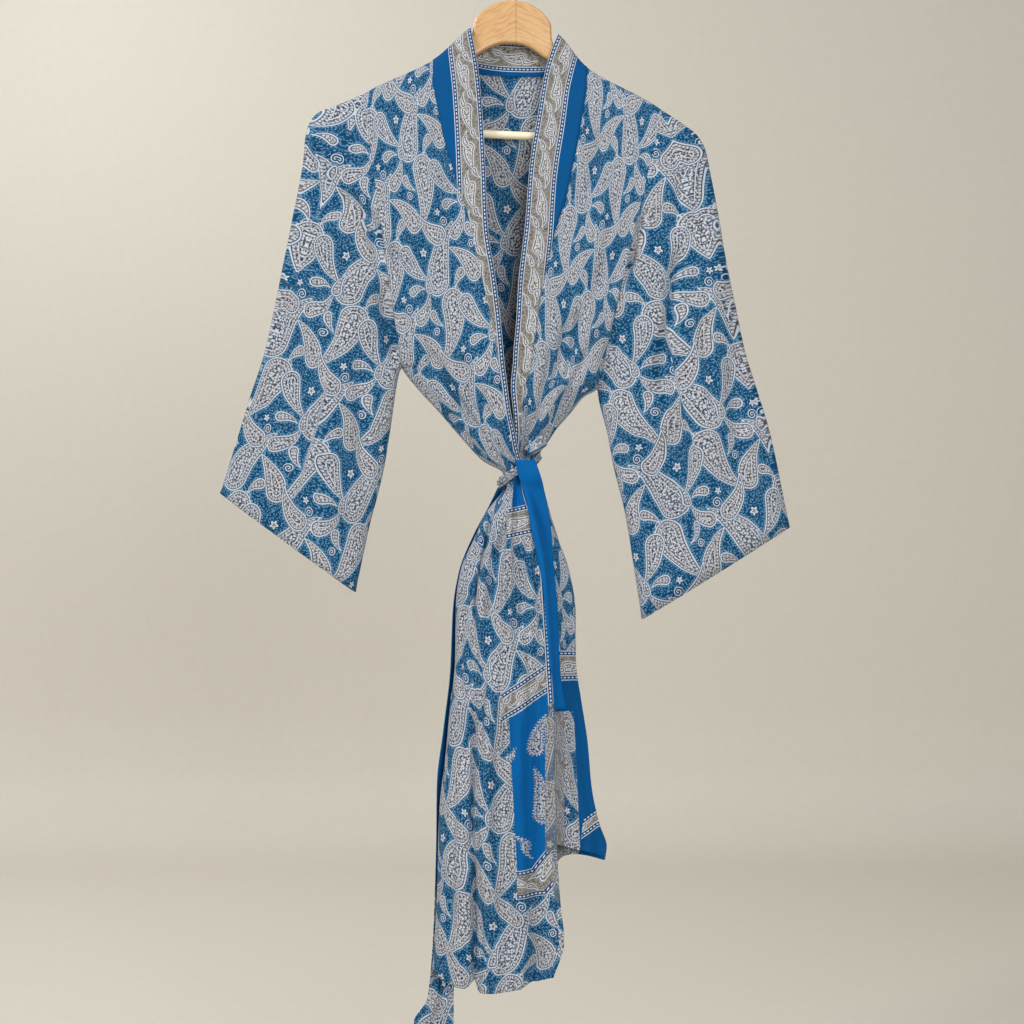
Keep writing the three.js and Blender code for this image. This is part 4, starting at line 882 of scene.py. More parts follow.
def table_curves(table: Sequence[SleeveSection]) -> dict[str, Curve]:
    """Smooth columns of a table of sections, by name."""
    names = [item.name for item in fields(table[0])]
    return {name: Curve([getattr(row, name) for row in table]) for name in names}


def running_length(points: Sequence[Vector]) -> list[float]:
    """Length along a line of points, counted from its first one.

    Args:
        points: the line.

    Returns:
        One length for each point.
    """
    total = [0.0]
    for start, end in zip(points, points[1:]):
        total.append(total[-1] + (end - start).length)
    return total


@dataclass
class Cloth:
    """A woven sheet: rows of points, moved from a flat grid, with its cut as UV."""

    name: str
    node_names: tuple[str, ...]
    slot: str
    points: list[list[Vector]]
    outward: Vector
    thickness: float = 0.6      # millimetres
    anchor: int = 0             # column that the cut is measured from
    spread: float = 0.45        # how far gathers squeeze the print
    closed: bool = False
    flat: list[list[tuple[float, float]]] | None = None     # the cut, where it is known

    def cut(self) -> list[list[tuple[float, float]]]:
        """Place of every point on the flat cloth, in millimetres.

        Returns:
            Rows of places, as the rows of points.
        """
        if self.flat:
            return self.flat
        across = [running_length(row) for row in self.points]
        widest = max(row[-1] for row in across)
        down = [running_length(column) for column in zip(*self.points)]
        laid = []
        for j, row in enumerate(across):
            stretch = mix(1.0, widest / row[-1], self.spread) if row[-1] else 1.0
            laid.append([
                ((length - row[self.anchor]) * stretch, -down[i][j])
                for i, length in enumerate(row)
            ])
        return laid

    def build(self) -> bpy.types.Object:
        """Make the sheet, dress it for the frame and give it its thickness.

        Returns:
            The finished object.
        """
        rows, columns = len(self.points) - 1, len(self.points[0]) - 1
        cut = self.cut()
        mesh = bmesh.new()
        layer = mesh.loops.layers.uv.new("cut")
        bmesh.ops.create_grid(mesh, x_segments=columns, y_segments=rows, size=0.5)
        for vertex in mesh.verts:
            i = round((vertex.co.x + 0.5) * columns)
            j = round((0.5 - vertex.co.y) * rows)
            for loop in vertex.link_loops:
                loop[layer].uv = cut[j][i]
            vertex.co = self.points[j][i] * MM
        if self.closed:
            bmesh.ops.remove_doubles(mesh, verts=mesh.verts, dist=1e-6)
        return finish_cloth(mesh, self.name, self.node_names, self.outward,
                            self.thickness)


def face_outward(mesh: bmesh.types.BMesh, outward: Vector) -> None:
    """Turn all faces so that the furthest one along a direction looks that way.

    Args:
        mesh: the faces to turn.
        outward: the direction.
    """
    bmesh.ops.recalc_face_normals(mesh, faces=mesh.faces)
    furthest = max(mesh.faces, key=lambda face: face.calc_center_median().dot(outward))
    if furthest.normal.dot(outward) < 0:
        bmesh.ops.reverse_faces(mesh, faces=mesh.faces)


def new_object(mesh: bmesh.types.BMesh, name: str) -> bpy.types.Object:
    """Put a bmesh into the scene as a smooth object, and free it.

    Args:
        mesh: in metres.
        name: of the object and of its mesh.

    Returns:
        The object.
    """
    for face in mesh.faces:
        face.smooth = True
    data = bpy.data.meshes.new(name)
    mesh.to_mesh(data)
    mesh.free()
    piece = bpy.data.objects.new(name, data)
    bpy.context.scene.collection.objects.link(piece)
    return piece


def finish_cloth(
    mesh: bmesh.types.BMesh, name: str, node_names: Sequence[str],
    outward: Vector, thickness: float,
) -> bpy.types.Object:
    """Turn a bmesh into a piece of cloth that rides on the frame.

    Args:
        mesh: the sheet, in metres.
        name: object name.
        node_names: the CAD nodes that it stands for.
        outward: side that shows.
        thickness: of the cloth, in millimetres.

    Returns:
        The finished object.
    """
    face_outward(mesh, outward)
    piece = new_object(mesh, name)
    if thickness:
        shell = piece.modifiers.new("cloth thickness", "SOLIDIFY")
        shell.thickness = thickness * MM
        shell.offset = -1
    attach(piece, "root")
    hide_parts(*node_names)
    return piece


# ---- shader nodes ----------------------------------------------------------------


def linear(red: int, green: int, blue: int) -> tuple[float, float, float, float]:
    """Scene colour of a paint given as three display values from 0 to 255."""
    channels = (red / 255, green / 255, blue / 255)
    return (*(c / 12.92 if c < 0.04 else ((c + 0.055) / 1.055) ** 2.4 for c in channels), 1.0)


class Graph:
    """Short hand for joining nodes in one node tree."""

    def __init__(self, tree: bpy.types.NodeTree) -> None:
        """Work in this tree."""
        self.tree = tree

    def add(self, kind: str, **settings: object) -> bpy.types.Node:
        """Add a node and set its properties.

        Args:
            kind: of node.
            settings: its properties, by name.

        Returns:
            The node.
        """
        node = self.tree.nodes.new(kind)
        for key, value in settings.items():
            setattr(node, key, value)
        return node

    def feed(self, socket: bpy.types.NodeSocket, value: object) -> None:
        """Link a socket, or set its value.

        Args:
            socket: the input.
            value: a socket or a plain value.
        """
        if isinstance(value, bpy.types.NodeSocket):
            self.tree.links.new(value, socket)
        else:
            socket.default_value = value

    def math(self, operation: str, *values: object, clamp: bool = False) -> bpy.types.NodeSocket:
        """One math node.

        Args:
            operation: what the node does.
            values: its inputs, in their order.
            clamp: whether the result is held between 0 and 1.

        Returns:
            The result's socket.
        """
        node = self.add("ShaderNodeMath", operation=operation, use_clamp=clamp)
        for socket, value in zip(node.inputs, values):
            self.feed(socket, value)
        return node.outputs[0]

    def vector(self, operation: str, *values: object) -> bpy.types.NodeSocket:
        """One vector math node; a dot product or a length gives its number.

        Args:
            operation: what the node does.
            values: its inputs, in their order.

        Returns:
            The result's socket.
        """
        node = self.add("ShaderNodeVectorMath", operation=operation)
        for socket, value in zip(node.inputs, values):
            self.feed(socket, value)
        return node.outputs["Value" if operation in ("DOT_PRODUCT", "LENGTH") else "Vector"]

    def split(self, value: object) -> tuple[bpy.types.NodeSocket, ...]:
        """The three numbers of a vector."""
        axes = ((1, 0, 0), (0, 1, 0), (0, 0, 1))
        return tuple(self.vector("DOT_PRODUCT", value, axis) for axis in axes)

    def join(self, x: object, y: object, z: object = 0.0) -> bpy.types.NodeSocket:
        """A vector from three numbers.

        Args:
            x: first number or socket.
            y: second one.
            z: third one.

        Returns:
            The vector's socket.
        """
        node = self.add("ShaderNodeCombineXYZ")
        for socket, value in zip(node.inputs, (x, y, z)):
            self.feed(socket, value)
        return node.outputs[0]

    def scale(self, value: object, factor: object) -> bpy.types.NodeSocket:
        """A vector or colour times a number.

        Args:
            value: vector or colour.
            factor: number or socket.

        Returns:
            The scaled socket.
        """
        node = self.add("ShaderNodeVectorMath", operation="SCALE")
        self.feed(node.inputs[0], value)
        self.feed(node.inputs["Scale"], factor)
        return node.outputs["Vector"]

    def choose(
        self, share: object, low: object, high: object, kind: str = "RGBA",
    ) -> bpy.types.NodeSocket:
        """Mix two colours, vectors or numbers by a share.

        Args:
            share: 0 for low, 1 for high.
            low: colour, vector, number or socket.
            high: the same.
            kind: RGBA, VECTOR or FLOAT.

        Returns:
            The mixed socket.
        """
        node = self.add("ShaderNodeMix", data_type=kind)
        first, result = {"FLOAT": (2, 0), "VECTOR": (4, 1), "RGBA": (6, 2)}[kind]
        self.feed(node.inputs[0], share)
        self.feed(node.inputs[first], low)
        self.feed(node.inputs[first + 1], high)
        return node.outputs[result]

    def below(self, value: object, edge: float, soft: float = SOFT) -> bpy.types.NodeSocket:
        """1 where a value is under an edge, with a soft step."""
        return self.math("MULTIPLY_ADD", value, -1 / soft, edge / soft + 0.5, clamp=True)

    def between(
        self, value: object, low: float, high: float, soft: float = SOFT,
    ) -> bpy.types.NodeSocket:
        """1 where a value lies between two edges, with soft steps."""
        away = self.math("ABSOLUTE", self.math("SUBTRACT", value, (low + high) / 2))
        return self.below(away, (high - low) / 2, soft)

    def both(self, first: object, second: object) -> bpy.types.NodeSocket:
        """Product of two masks."""
        return self.math("MULTIPLY", first, second)

    def rest(self, mask: object) -> bpy.types.NodeSocket:
        """What a mask leaves: one minus it."""
        return self.math("SUBTRACT", 1.0, mask)

    def noise(self, place: object, scale: float, detail: float = 2.0) -> bpy.types.NodeSocket:
        """Noise from 0 to 1.

        Args:
            place: where it is looked up.
            scale: its fineness.
            detail: how many finer layers it has.

        Returns:
            The noise's socket.
        """
        node = self.add("ShaderNodeTexNoise")
        self.feed(node.inputs["Vector"], place)
        node.inputs["Scale"].default_value = scale
        node.inputs["Detail"].default_value = detail
        return node.outputs["Fac"]

    def cells(self, place: object, scale: float, uneven: float) -> bpy.types.NodeSocket:
        """Distance to the nearest of many scattered points.

        Args:
            place: where it is looked up.
            scale: cells to a unit of length.
            uneven: 0 for an even grid, 1 for scattered points.

        Returns:
            The distance's socket, in cells.
        """
        node = self.add("ShaderNodeTexVoronoi", voronoi_dimensions="2D")
        self.feed(node.inputs["Vector"], place)
        node.inputs["Scale"].default_value = scale
        node.inputs["Randomness"].default_value = uneven
        return node.outputs["Distance"]

    def group(self, tree: bpy.types.NodeTree, **values: object) -> dict[str, bpy.types.NodeSocket]:
        """Use a node group, and give its outputs by name.

        Args:
            tree: the group.
            values: its inputs, by name.

        Returns:
            Output sockets, by name.
        """
        node = self.add("ShaderNodeGroup", node_tree=tree)
        for name, value in values.items():
            self.feed(node.inputs[name], value)
        return {socket.name: socket for socket in node.outputs}


def new_group(
    name: str, inputs: dict[str, str], outputs: dict[str, str],
) -> tuple[Graph, dict[str, bpy.types.NodeSocket], bpy.types.Node]:
    """An empty node group.

    Args:
        name: of the group.
        inputs: kind of each input socket, by name.
        outputs: kind of each output socket, by name.

    Returns:
        Its graph, input sockets by name, and the node that takes its outputs.
    """
    tree = bpy.data.node_groups.new(name, "ShaderNodeTree")
    for direction, sockets in (("INPUT", inputs), ("OUTPUT", outputs)):
        for label, kind in sockets.items():
            tree.interface.new_socket(label, in_out=direction, socket_type=f"NodeSocket{kind}")
    graph = Graph(tree)
    entry = graph.add("NodeGroupInput")
    return graph, {socket.name: socket for socket in entry.outputs}, graph.add("NodeGroupOutput")


# ---- the print ---------------------------------------------------------------------


@dataclass(frozen=True)
class Teardrop:
    """One paisley of the repeat: place, turn, length, head radius and bend."""

    x: float
    y: float
    turn: float
    length: float
    radius: float
    bend: float


@dataclass(frozen=True)
class Posy:
    """A small flower or scroll of the repeat."""

    x: float
    y: float
    radius: float


REPEAT = 65.0       # half the width of the half-drop repeat, in millimetres
TEARDROPS = (
    Teardrop(26, 34, 72, 56, 14, -0.28), Teardrop(86, 30, 262, 54, 13.5, -0.30),
    Teardrop(54, 22, 112, 38, 9.5, 0.34), Teardrop(117, 34, 290, 36, 9.5, 0.34),
    Teardrop(57, 58, 25, 26, 7, 0.45), Teardrop(16, 62, 150, 34, 8.5, -0.40),
    Teardrop(4, 16, 100, 16, 4.4, -0.5), Teardrop(68, 44, 280, 15, 4, 0.5),
    Teardrop(41, 8, 200, 15, 4.4, 0.5), Teardrop(116, 13, 20, 15, 4.2, -0.5),
)
FLOWERS = (Posy(40, 50, 2.8), Posy(105, 56, 2.8), Posy(96, 8, 2.6), Posy(4, 43, 3.4))
SCROLLS = (Posy(36, 63, 5), Posy(100, 62, 5), Posy(66, 33, 4.5))


def half_drop_group() -> bpy.types.NodeTree:
    """Node group for the vector from the nearest copy of a motif in the repeat.

    Returns:
        The group's tree.
    """
    kinds = {"Place": "Vector", "Centre": "Vector"}
    graph, given, out = new_group("half drop", kinds, {"Away": "Vector"})
    away = graph.vector("SUBTRACT", given["Place"], given["Centre"])
    away = graph.vector("WRAP", away, (REPEAT, REPEAT, 1.0), (-REPEAT, -REPEAT, -1.0))
    x, y, _ = graph.split(graph.vector("ABSOLUTE", away))
    over = graph.math("GREATER_THAN", graph.math("ADD", x, y), REPEAT)
    step = graph.vector("MULTIPLY", graph.vector("SIGN", away), (REPEAT, REPEAT, 0.0))
    moved = graph.vector("SUBTRACT", away, graph.scale(step, over))
    graph.feed(out.inputs["Away"], moved)
    return graph.tree


def teardrop_group() -> bpy.types.NodeTree:
    """Node group that lays one paisley over those below it.

    Its vector holds the distance from the outline, negative inside, the
    length round the outline, and the motif's tone.

    Returns:
        The group's tree.
    """
    kinds = {"Away": "Vector", "Below": "Vector", "Turn": "Float", "Length": "Float",
             "Radius": "Float", "Bend": "Float", "Tone": "Float"}
    graph, given, out = new_group("teardrop", kinds, {"Top": "Vector"})
    turn = graph.add("ShaderNodeVectorRotate", rotation_type="Z_AXIS")
    graph.feed(turn.inputs["Vector"], given["Away"])
    graph.feed(turn.inputs["Angle"], graph.math("MULTIPLY", given["Turn"], -1.0))
    x, y, _ = graph.split(turn.outputs[0])
    along = graph.math("MULTIPLY_ADD", given["Length"], 0.42, x)
    lean = graph.both(given["Bend"], given["Length"])
    side = graph.math("MULTIPLY_ADD", lean, 0.25, y)
    share = graph.math("DIVIDE", along, given["Length"], clamp=True)
    middle = graph.both(lean, graph.math("POWER", share, 2.6))
    back = graph.math("MULTIPLY", given["Length"], -1.0)
    gap_along = graph.math("MULTIPLY_ADD", share, back, along)
    gap_side = graph.math("SUBTRACT", side, middle)
    far = graph.vector("LENGTH", graph.join(gap_along, gap_side))
    blunt = graph.math("SUBTRACT", 1.0, graph.math("POWER", share, 1.5))
    taper = graph.math("POWER", blunt, 0.85)
    distance = graph.math("SUBTRACT", far, graph.both(given["Radius"], taper))
    behind = graph.math("MAXIMUM", graph.math("MULTIPLY", along, -1.0), 0.01)
    angle = graph.math("ARCTAN2", graph.math("ABSOLUTE", side), behind)
    run = graph.math("MULTIPLY_ADD", given["Radius"], angle, graph.math("MAXIMUM", along, 0.0))
    below, _, _ = graph.split(given["Below"])
    nearer = graph.math("LESS_THAN", distance, below)
    over = graph.math("MAXIMUM", nearer, graph.math("LESS_THAN", distance, 1.3))
    top = graph.join(distance, run, given["Tone"])
    graph.feed(out.inputs["Top"], graph.choose(over, given["Below"], top, "VECTOR"))
    return graph.tree


def lay_teardrop(
    graph: Graph, teardrop: bpy.types.NodeTree, one: Teardrop, away: object,
    below: object, tone: float = 0.0,
) -> bpy.types.NodeSocket:
    """Lay one paisley over those already there.

    Args:
        graph: tree to work in.
        teardrop: the paisley's group.
        one: its shape.
        away: vector from its centre.
        below: what lies there already.
        tone: of its fill.

    Returns:
        Vector of distance, length round and tone.
    """
    return graph.group(
        teardrop, Away=away, Below=below, Turn=math.radians(one.turn),
        Length=one.length, Radius=one.radius, Bend=one.bend, Tone=tone,
    )["Top"]


@dataclass(frozen=True)
class Print:
    """Colours of the all-over print."""

    ground: tuple[int, int, int] = (4, 66, 104)
    motif: tuple[int, int, int] = (112, 115, 124)
    warm: tuple[int, int, int] = (124, 119, 119)
    line: tuple[int, int, int] = (190, 195, 203)
    dark: tuple[int, int, int] = (28, 44, 72)
    dot: tuple[int, int, int] = (100, 138, 166)
    enlarge: float = 1.25

    def group(
        self, half_drop: bpy.types.NodeTree, teardrop: bpy.types.NodeTree,
    ) -> bpy.types.NodeTree:
        """Node group that paints the print at a place on the flat cloth.

        Args:
            half_drop: group that finds the nearest copy of a motif.
            teardrop: group that lays one paisley.

        Returns:
            The group's tree.
        """
        graph, given, out = new_group("print", {"Place": "Vector"}, {"Color": "Color"})
        place = graph.scale(given["Place"], 1 / self.enlarge)
        top: object = NO_MOTIF
        for index, one in enumerate(TEARDROPS):
            centre = (one.x, one.y, 0.0)
            away = graph.group(half_drop, Place=place, Centre=centre)["Away"]
            top = lay_teardrop(graph, teardrop, one, away, top, (index % 3) / 2)
        distance, run, tone = graph.split(top)
        speck = graph.cells(place, 1 / 3.1, 0.75)
        fine = graph.cells(place, 1 / 1.9, 0.9)
        ground = self._ground(graph, place, speck, half_drop)
        fill = graph.choose(tone, linear(*self.motif), linear(*self.warm))
        fill = graph.choose(graph.below(fine, 0.18, 0.14), fill, linear(*self.line))
        inner = graph.below(distance, -3.4)
        deep = graph.both(graph.math("GREATER_THAN", fine, 0.46), inner)
        fill = graph.choose(graph.math("MULTIPLY", deep, 0.8), fill, linear(*self.dark))
        bead = graph.both(graph.below(speck, 0.24, 0.08), inner)
        fill = graph.choose(bead, fill, linear(*self.line))
        contour = graph.between(distance, -6.2, -5.4)
        fill = graph.choose(contour, fill, linear(*self.line))
        heart = graph.both(graph.below(distance, -8.2), graph.below(speck, 0.34, 0.1))
        fill = graph.choose(heart, fill, linear(*self.line))
        wave = graph.math("SINE", graph.math("MULTIPLY", run, 2 * math.pi / 3.2))
        row = graph.both(graph.between(distance, -3.2, -1.5), graph.below(wave, -0.05))
        fill = graph.choose(row, fill, linear(*self.line))
        line = graph.between(distance, -1.5, -0.6)
        fill = graph.choose(graph.math("MULTIPLY", line, 0.7), fill, linear(*self.dark))
        tick = graph.math("SINE", graph.math("MULTIPLY", run, 2 * math.pi / 2.6))
        halo = graph.both(graph.between(distance, 1.1, 2.7), graph.below(tick, 0.0, 0.4))
        ground = graph.choose(halo, ground, linear(*self.dot))
        color = graph.choose(graph.below(distance, 0.0), ground, fill)
        outline = graph.between(distance, -0.6, 0.6)
        graph.feed(out.inputs["Color"], graph.choose(outline, color, linear(*self.line)))
        return graph.tree

    def _ground(
        self, graph: Graph, place: object, speck: object, half_drop: bpy.types.NodeTree,
    ) -> bpy.types.NodeSocket:
        """Blue ground with dots, flowers and scrolls.

        Args:
            graph: tree to work in.
            place: point on the cloth.
            speck: distance to the nearest dot, in dots.
            half_drop: group that finds the nearest copy of a motif.

        Returns:
            The ground's colour socket.
        """
        winding = graph.math("MULTIPLY", graph.noise(place, 0.085, 1.0), 17.0)
        vine = graph.below(graph.math("PINGPONG", winding, 1.0), 0.11, 0.12)
        ground = graph.choose(vine, linear(*self.ground), linear(*self.dot))
        ground = graph.choose(graph.below(speck, 0.20, 0.08), ground, linear(*self.dot))
        for flower in FLOWERS:
            centre = (flower.x, flower.y, 0.0)
            away = graph.group(half_drop, Place=place, Centre=centre)["Away"]
            x, y, _ = graph.split(away)
            angle = graph.math("MULTIPLY", graph.math("ARCTAN2", y, x), 5.0)
            petal = graph.math("MULTIPLY_ADD", graph.math("COSINE", angle), 1.0, flower.radius)
            far = graph.math("SUBTRACT", graph.vector("LENGTH", away), petal)
            ground = graph.choose(graph.below(far, 1.0), ground, linear(*self.ground))
            ground = graph.choose(graph.below(far, 0.0), ground, linear(*self.line))
            heart = graph.below(far, -2.2)
            ground = graph.choose(heart, ground, linear(*self.dark))
        for scroll in SCROLLS:
            centre = (scroll.x, scroll.y, 0.0)
            away = graph.group(half_drop, Place=place, Centre=centre)["Away"]
            x, y, _ = graph.split(away)
            turn = graph.math("MULTIPLY_ADD", graph.math("ARCTAN2", y, x), 0.5 / math.pi, 0.5)
            reach = graph.vector("LENGTH", away)
            coil = graph.math("MULTIPLY_ADD", turn, -0.5 * scroll.radius, reach)
            coil = graph.math("PINGPONG", coil, scroll.radius * 0.25)
            held = graph.math("LESS_THAN", reach, scroll.radius)
            stroke = graph.both(graph.below(coil, 0.45), held)
            ground = graph.choose(held, ground, linear(*self.ground))
            ground = graph.choose(stroke, ground, linear(*self.line))
        return ground


@dataclass(frozen=True)
class Finish:
    """Surface of a material: roughness, sheen, and how strongly its grain shows."""

    roughness: float
    sheen: float = 0.0
    metallic: float = 0.0
    specular: float = 0.5
    grain: float = 0.3
    grain_depth: float = 0.00025


SOFT_WEAVE = Finish(roughness=0.72, sheen=0.02, specular=0.08, grain=0.4)


def new_material(name: str) -> tuple[Graph, bpy.types.Node, bpy.types.Material]:
    """A node material with one Principled surface.

    Args:
        name: of the material.

    Returns:
        Its graph, surface node and the material.
    """
    material = bpy.data.materials.new(name)
    material.use_nodes = True
    graph = Graph(material.node_tree)
    material.node_tree.nodes.clear()
    surface = graph.add("ShaderNodeBsdfPrincipled")
    out = graph.add("ShaderNodeOutputMaterial")
    graph.feed(out.inputs["Surface"], surface.outputs[0])
    return graph, surface, material


def set_finish(graph: Graph, surface: bpy.types.Node, finish: Finish, height: object) -> None:
    """Give a surface its finish and bump.

    Args:
        graph: of the material.
        surface: its Principled node.
        finish: values to set.
        height: socket with the bump's height.
    """
    surface.inputs["Roughness"].default_value = finish.roughness
    surface.inputs["Metallic"].default_value = finish.metallic
    surface.inputs["Sheen Weight"].default_value = finish.sheen
    surface.inputs["Specular IOR Level"].default_value = finish.specular
    bump = graph.add("ShaderNodeBump")
    bump.inputs["Strength"].default_value = finish.grain
    bump.inputs["Distance"].default_value = finish.grain_depth
    graph.feed(bump.inputs["Height"], height)
    graph.feed(surface.inputs["Normal"], bump.outputs[0])


def cloth_surface(graph: Graph, surface: bpy.types.Node, color: object, cut: object) -> None:
    """Crepe weave under any printed or plain colour, with painted shade where the weave's bump is
    low.

    Args:
        graph: of the material.
        surface: its Principled node.
        color: colour socket of the cloth.
        cut: place on the flat cloth, in millimetres.
    """
    slub = graph.noise(graph.vector("MULTIPLY", cut, (1.0, 0.12, 1.0)), 0.9, 3.0)
    thread = graph.noise(graph.vector("MULTIPLY", cut, (0.12, 1.0, 1.0)), 1.1, 3.0)
    weave = graph.math("ADD", slub, thread)
    tone = graph.math("MULTIPLY_ADD", graph.noise(cut, 0.02, 2.0), 0.24, 0.88)
    # painted shade: the colour darkens where the weave's bump height is low; the broad tone noise
    # is random tone
    shade = graph.math("MULTIPLY_ADD", weave, 0.10, -0.10)
    tone_and_painted_shade = graph.math("ADD", tone, shade)
    graph.feed(surface.inputs["Base Color"], graph.scale(color, tone_and_painted_shade))
    set_finish(graph, surface, SOFT_WEAVE, weave)


def millimetres(
    graph: Graph, kind: str, shift: tuple[float, float] = (0.0, 0.0), turn: float = 0.0,
) -> bpy.types.NodeSocket:
    """Place on the cloth in millimetres, moved so that pieces don't match.

    Args:
        graph: of the material.
        kind: UV for the cut, or Object for the hanging piece.
        shift: of the print.
        turn: of the print, in degrees.

    Returns:
        A vector socket.
    """
    source = graph.add("ShaderNodeTexCoord").outputs[kind]
    mapping = graph.add("ShaderNodeMapping")
    graph.feed(mapping.inputs["Vector"], source)
    mapping.inputs["Location"].default_value = (*shift, 0.0)
    mapping.inputs["Rotation"].default_value = (0.0, 0.0, math.radians(turn))
    if kind == "Object":
        mapping.inputs["Scale"].default_value = (1000.0, 1000.0, 1000.0)
    return mapping.outputs[0]


@dataclass(frozen=True)
class Dyes:
    """Colours shared by the border, the neckband and the belt."""

    blue: tuple[int, int, int] = (0, 88, 152)
    deep_blue: tuple[int, int, int] = (9, 62, 104)
    strip: tuple[int, int, int] = (2, 76, 130)
    taupe: tuple[int, int, int] = (120, 114, 106)
    taupe_light: tuple[int, int, int] = (152, 150, 147)
    taupe_dark: tuple[int, int, int] = (70, 66, 66)
    white: tuple[int, int, int] = (196, 200, 208)


def dash_group(dyes: Dyes) -> bpy.types.NodeTree:
    """Node group for a stripe of white dashes between two white lines.

    Its inputs are the distance across from the stripe's middle, and the
    distance along it, in millimetres.

    Args:
        dyes: the stripe's colours.

    Returns:
        The group's tree.
    """
    kinds = {"Across": "Float", "Along": "Float"}
    graph, given, out = new_group("dashes", kinds, {"Color": "Color"})
    across = graph.math("ABSOLUTE", given["Across"])
    rails = graph.between(across, 2.3, 3.2)
    beat = graph.math("PINGPONG", given["Along"], 2.3)
    dash = graph.both(graph.below(across, 0.75), graph.below(beat, 1.35))
    mark = graph.math("MAXIMUM", rails, dash)
    colour = graph.choose(mark, linear(*dyes.deep_blue), linear(*dyes.white))
    graph.feed(out.inputs["Color"], colour)
    return graph.tree


def taupe_group(dyes: Dyes, teardrop: bpy.types.NodeTree) -> bpy.types.NodeTree:
    """Node group for the taupe border with its row of small paisleys.

    Args:
        dyes: the border's colours.
        teardrop: group that lays one paisley.

    Returns:
        A tree with inputs across from the border's middle, and along.
    """
    kinds = {"Across": "Float", "Along": "Float"}
    graph, given, out = new_group("taupe border", kinds, {"Color": "Color"})
    top: object = NO_MOTIF
    drops = (
        Teardrop(0.5, 0.0, 84, 27, 6.6, 0.34), Teardrop(5.5, 23.0, -70, 13, 3.2, -0.5),
        Teardrop(-6.0, 20.0, 100, 11, 2.9, 0.5),
    )
    for one in drops:
        along = graph.math("SUBTRACT", given["Along"], one.y)
        along = graph.math("WRAP", along, 23.0, -23.0)
        away = graph.join(graph.math("SUBTRACT", given["Across"], one.x), along)
        top = lay_teardrop(graph, teardrop, one, away, top)
    distance, run, _ = graph.split(top)
    place = graph.join(given["Across"], given["Along"])
    speck = graph.cells(place, 1 / 2.4, 0.9)
    dotted = graph.below(speck, 0.33, 0.2)
    ground = graph.choose(dotted, linear(*dyes.taupe), linear(*dyes.taupe_light))
    winding = graph.math("MULTIPLY", graph.noise(place, 0.11), 22.0)
    vine = graph.math("PINGPONG", winding, 1.6)
    ground = graph.choose(graph.below(vine, 0.28), ground, linear(*dyes.taupe_dark))
    fill = graph.choose(graph.below(speck, 0.36, 0.2), linear(*dyes.taupe), linear(*dyes.white))
    ring = graph.between(distance, -2.9, -2.2)
    fill = graph.choose(ring, fill, linear(*dyes.white))
    shade = graph.between(distance, -1.6, -0.6)
    fill = graph.choose(graph.math("MULTIPLY", shade, 0.8), fill, linear(*dyes.taupe_dark))
    colour = graph.choose(graph.below(distance, 0.0), ground, fill)
    tick = graph.below(graph.math("SINE", graph.math("MULTIPLY", run, 3.0)), 0.0, 0.4)
    halo = graph.both(graph.between(distance, 0.9, 2.0), tick)
    colour = graph.choose(halo, colour, linear(*dyes.taupe_light))
    outline = graph.between(distance, -0.5, 0.5)
    graph.feed(out.inputs["Color"], graph.choose(outline, colour, linear(*dyes.white)))
    return graph.tree


@dataclass(frozen=True)
class Edge:
    """A straight line on the hanging cloth; its far side is to the right of its run."""

    x0: float
    z0: float
    x1: float
    z1: float

    def distance(self, graph: Graph, spot: object) -> bpy.types.NodeSocket:
        """Millimetres to the right of the line, seen from the front.

        Args:
            graph: tree to work in.
            spot: place on the hanging cloth.

        Returns:
            The distance's socket.
        """
        length = math.hypot(self.x1 - self.x0, self.z1 - self.z0)
        nx, nz = (self.z1 - self.z0) / length, (self.x0 - self.x1) / length
        reach = graph.vector("DOT_PRODUCT", spot, (nx, 0.0, nz))
        return graph.math("SUBTRACT", reach, nx * self.x0 + nz * self.z0)

    def run(self, graph: Graph, spot: object) -> bpy.types.NodeSocket:
        """Millimetres along the line.

        Args:
            graph: tree to work in.
            spot: place on the hanging cloth.

        Returns:
            The length's socket.
        """
        length = math.hypot(self.x1 - self.x0, self.z1 - self.z0)
        dx, dz = (self.x1 - self.x0) / length, (self.z1 - self.z0) / length
        return graph.vector("DOT_PRODUCT", spot, (dx, 0.0, dz))


@dataclass(frozen=True)
class BandPlan:
    """Stripes of the neckband: middles and ends, in millimetres from its free edge."""

    first: float = 2.8
    first_end: float = 6.0
    border: float = 17.5
    border_end: float = 29.0
    second: float = 32.2
    second_end: float = 35.4


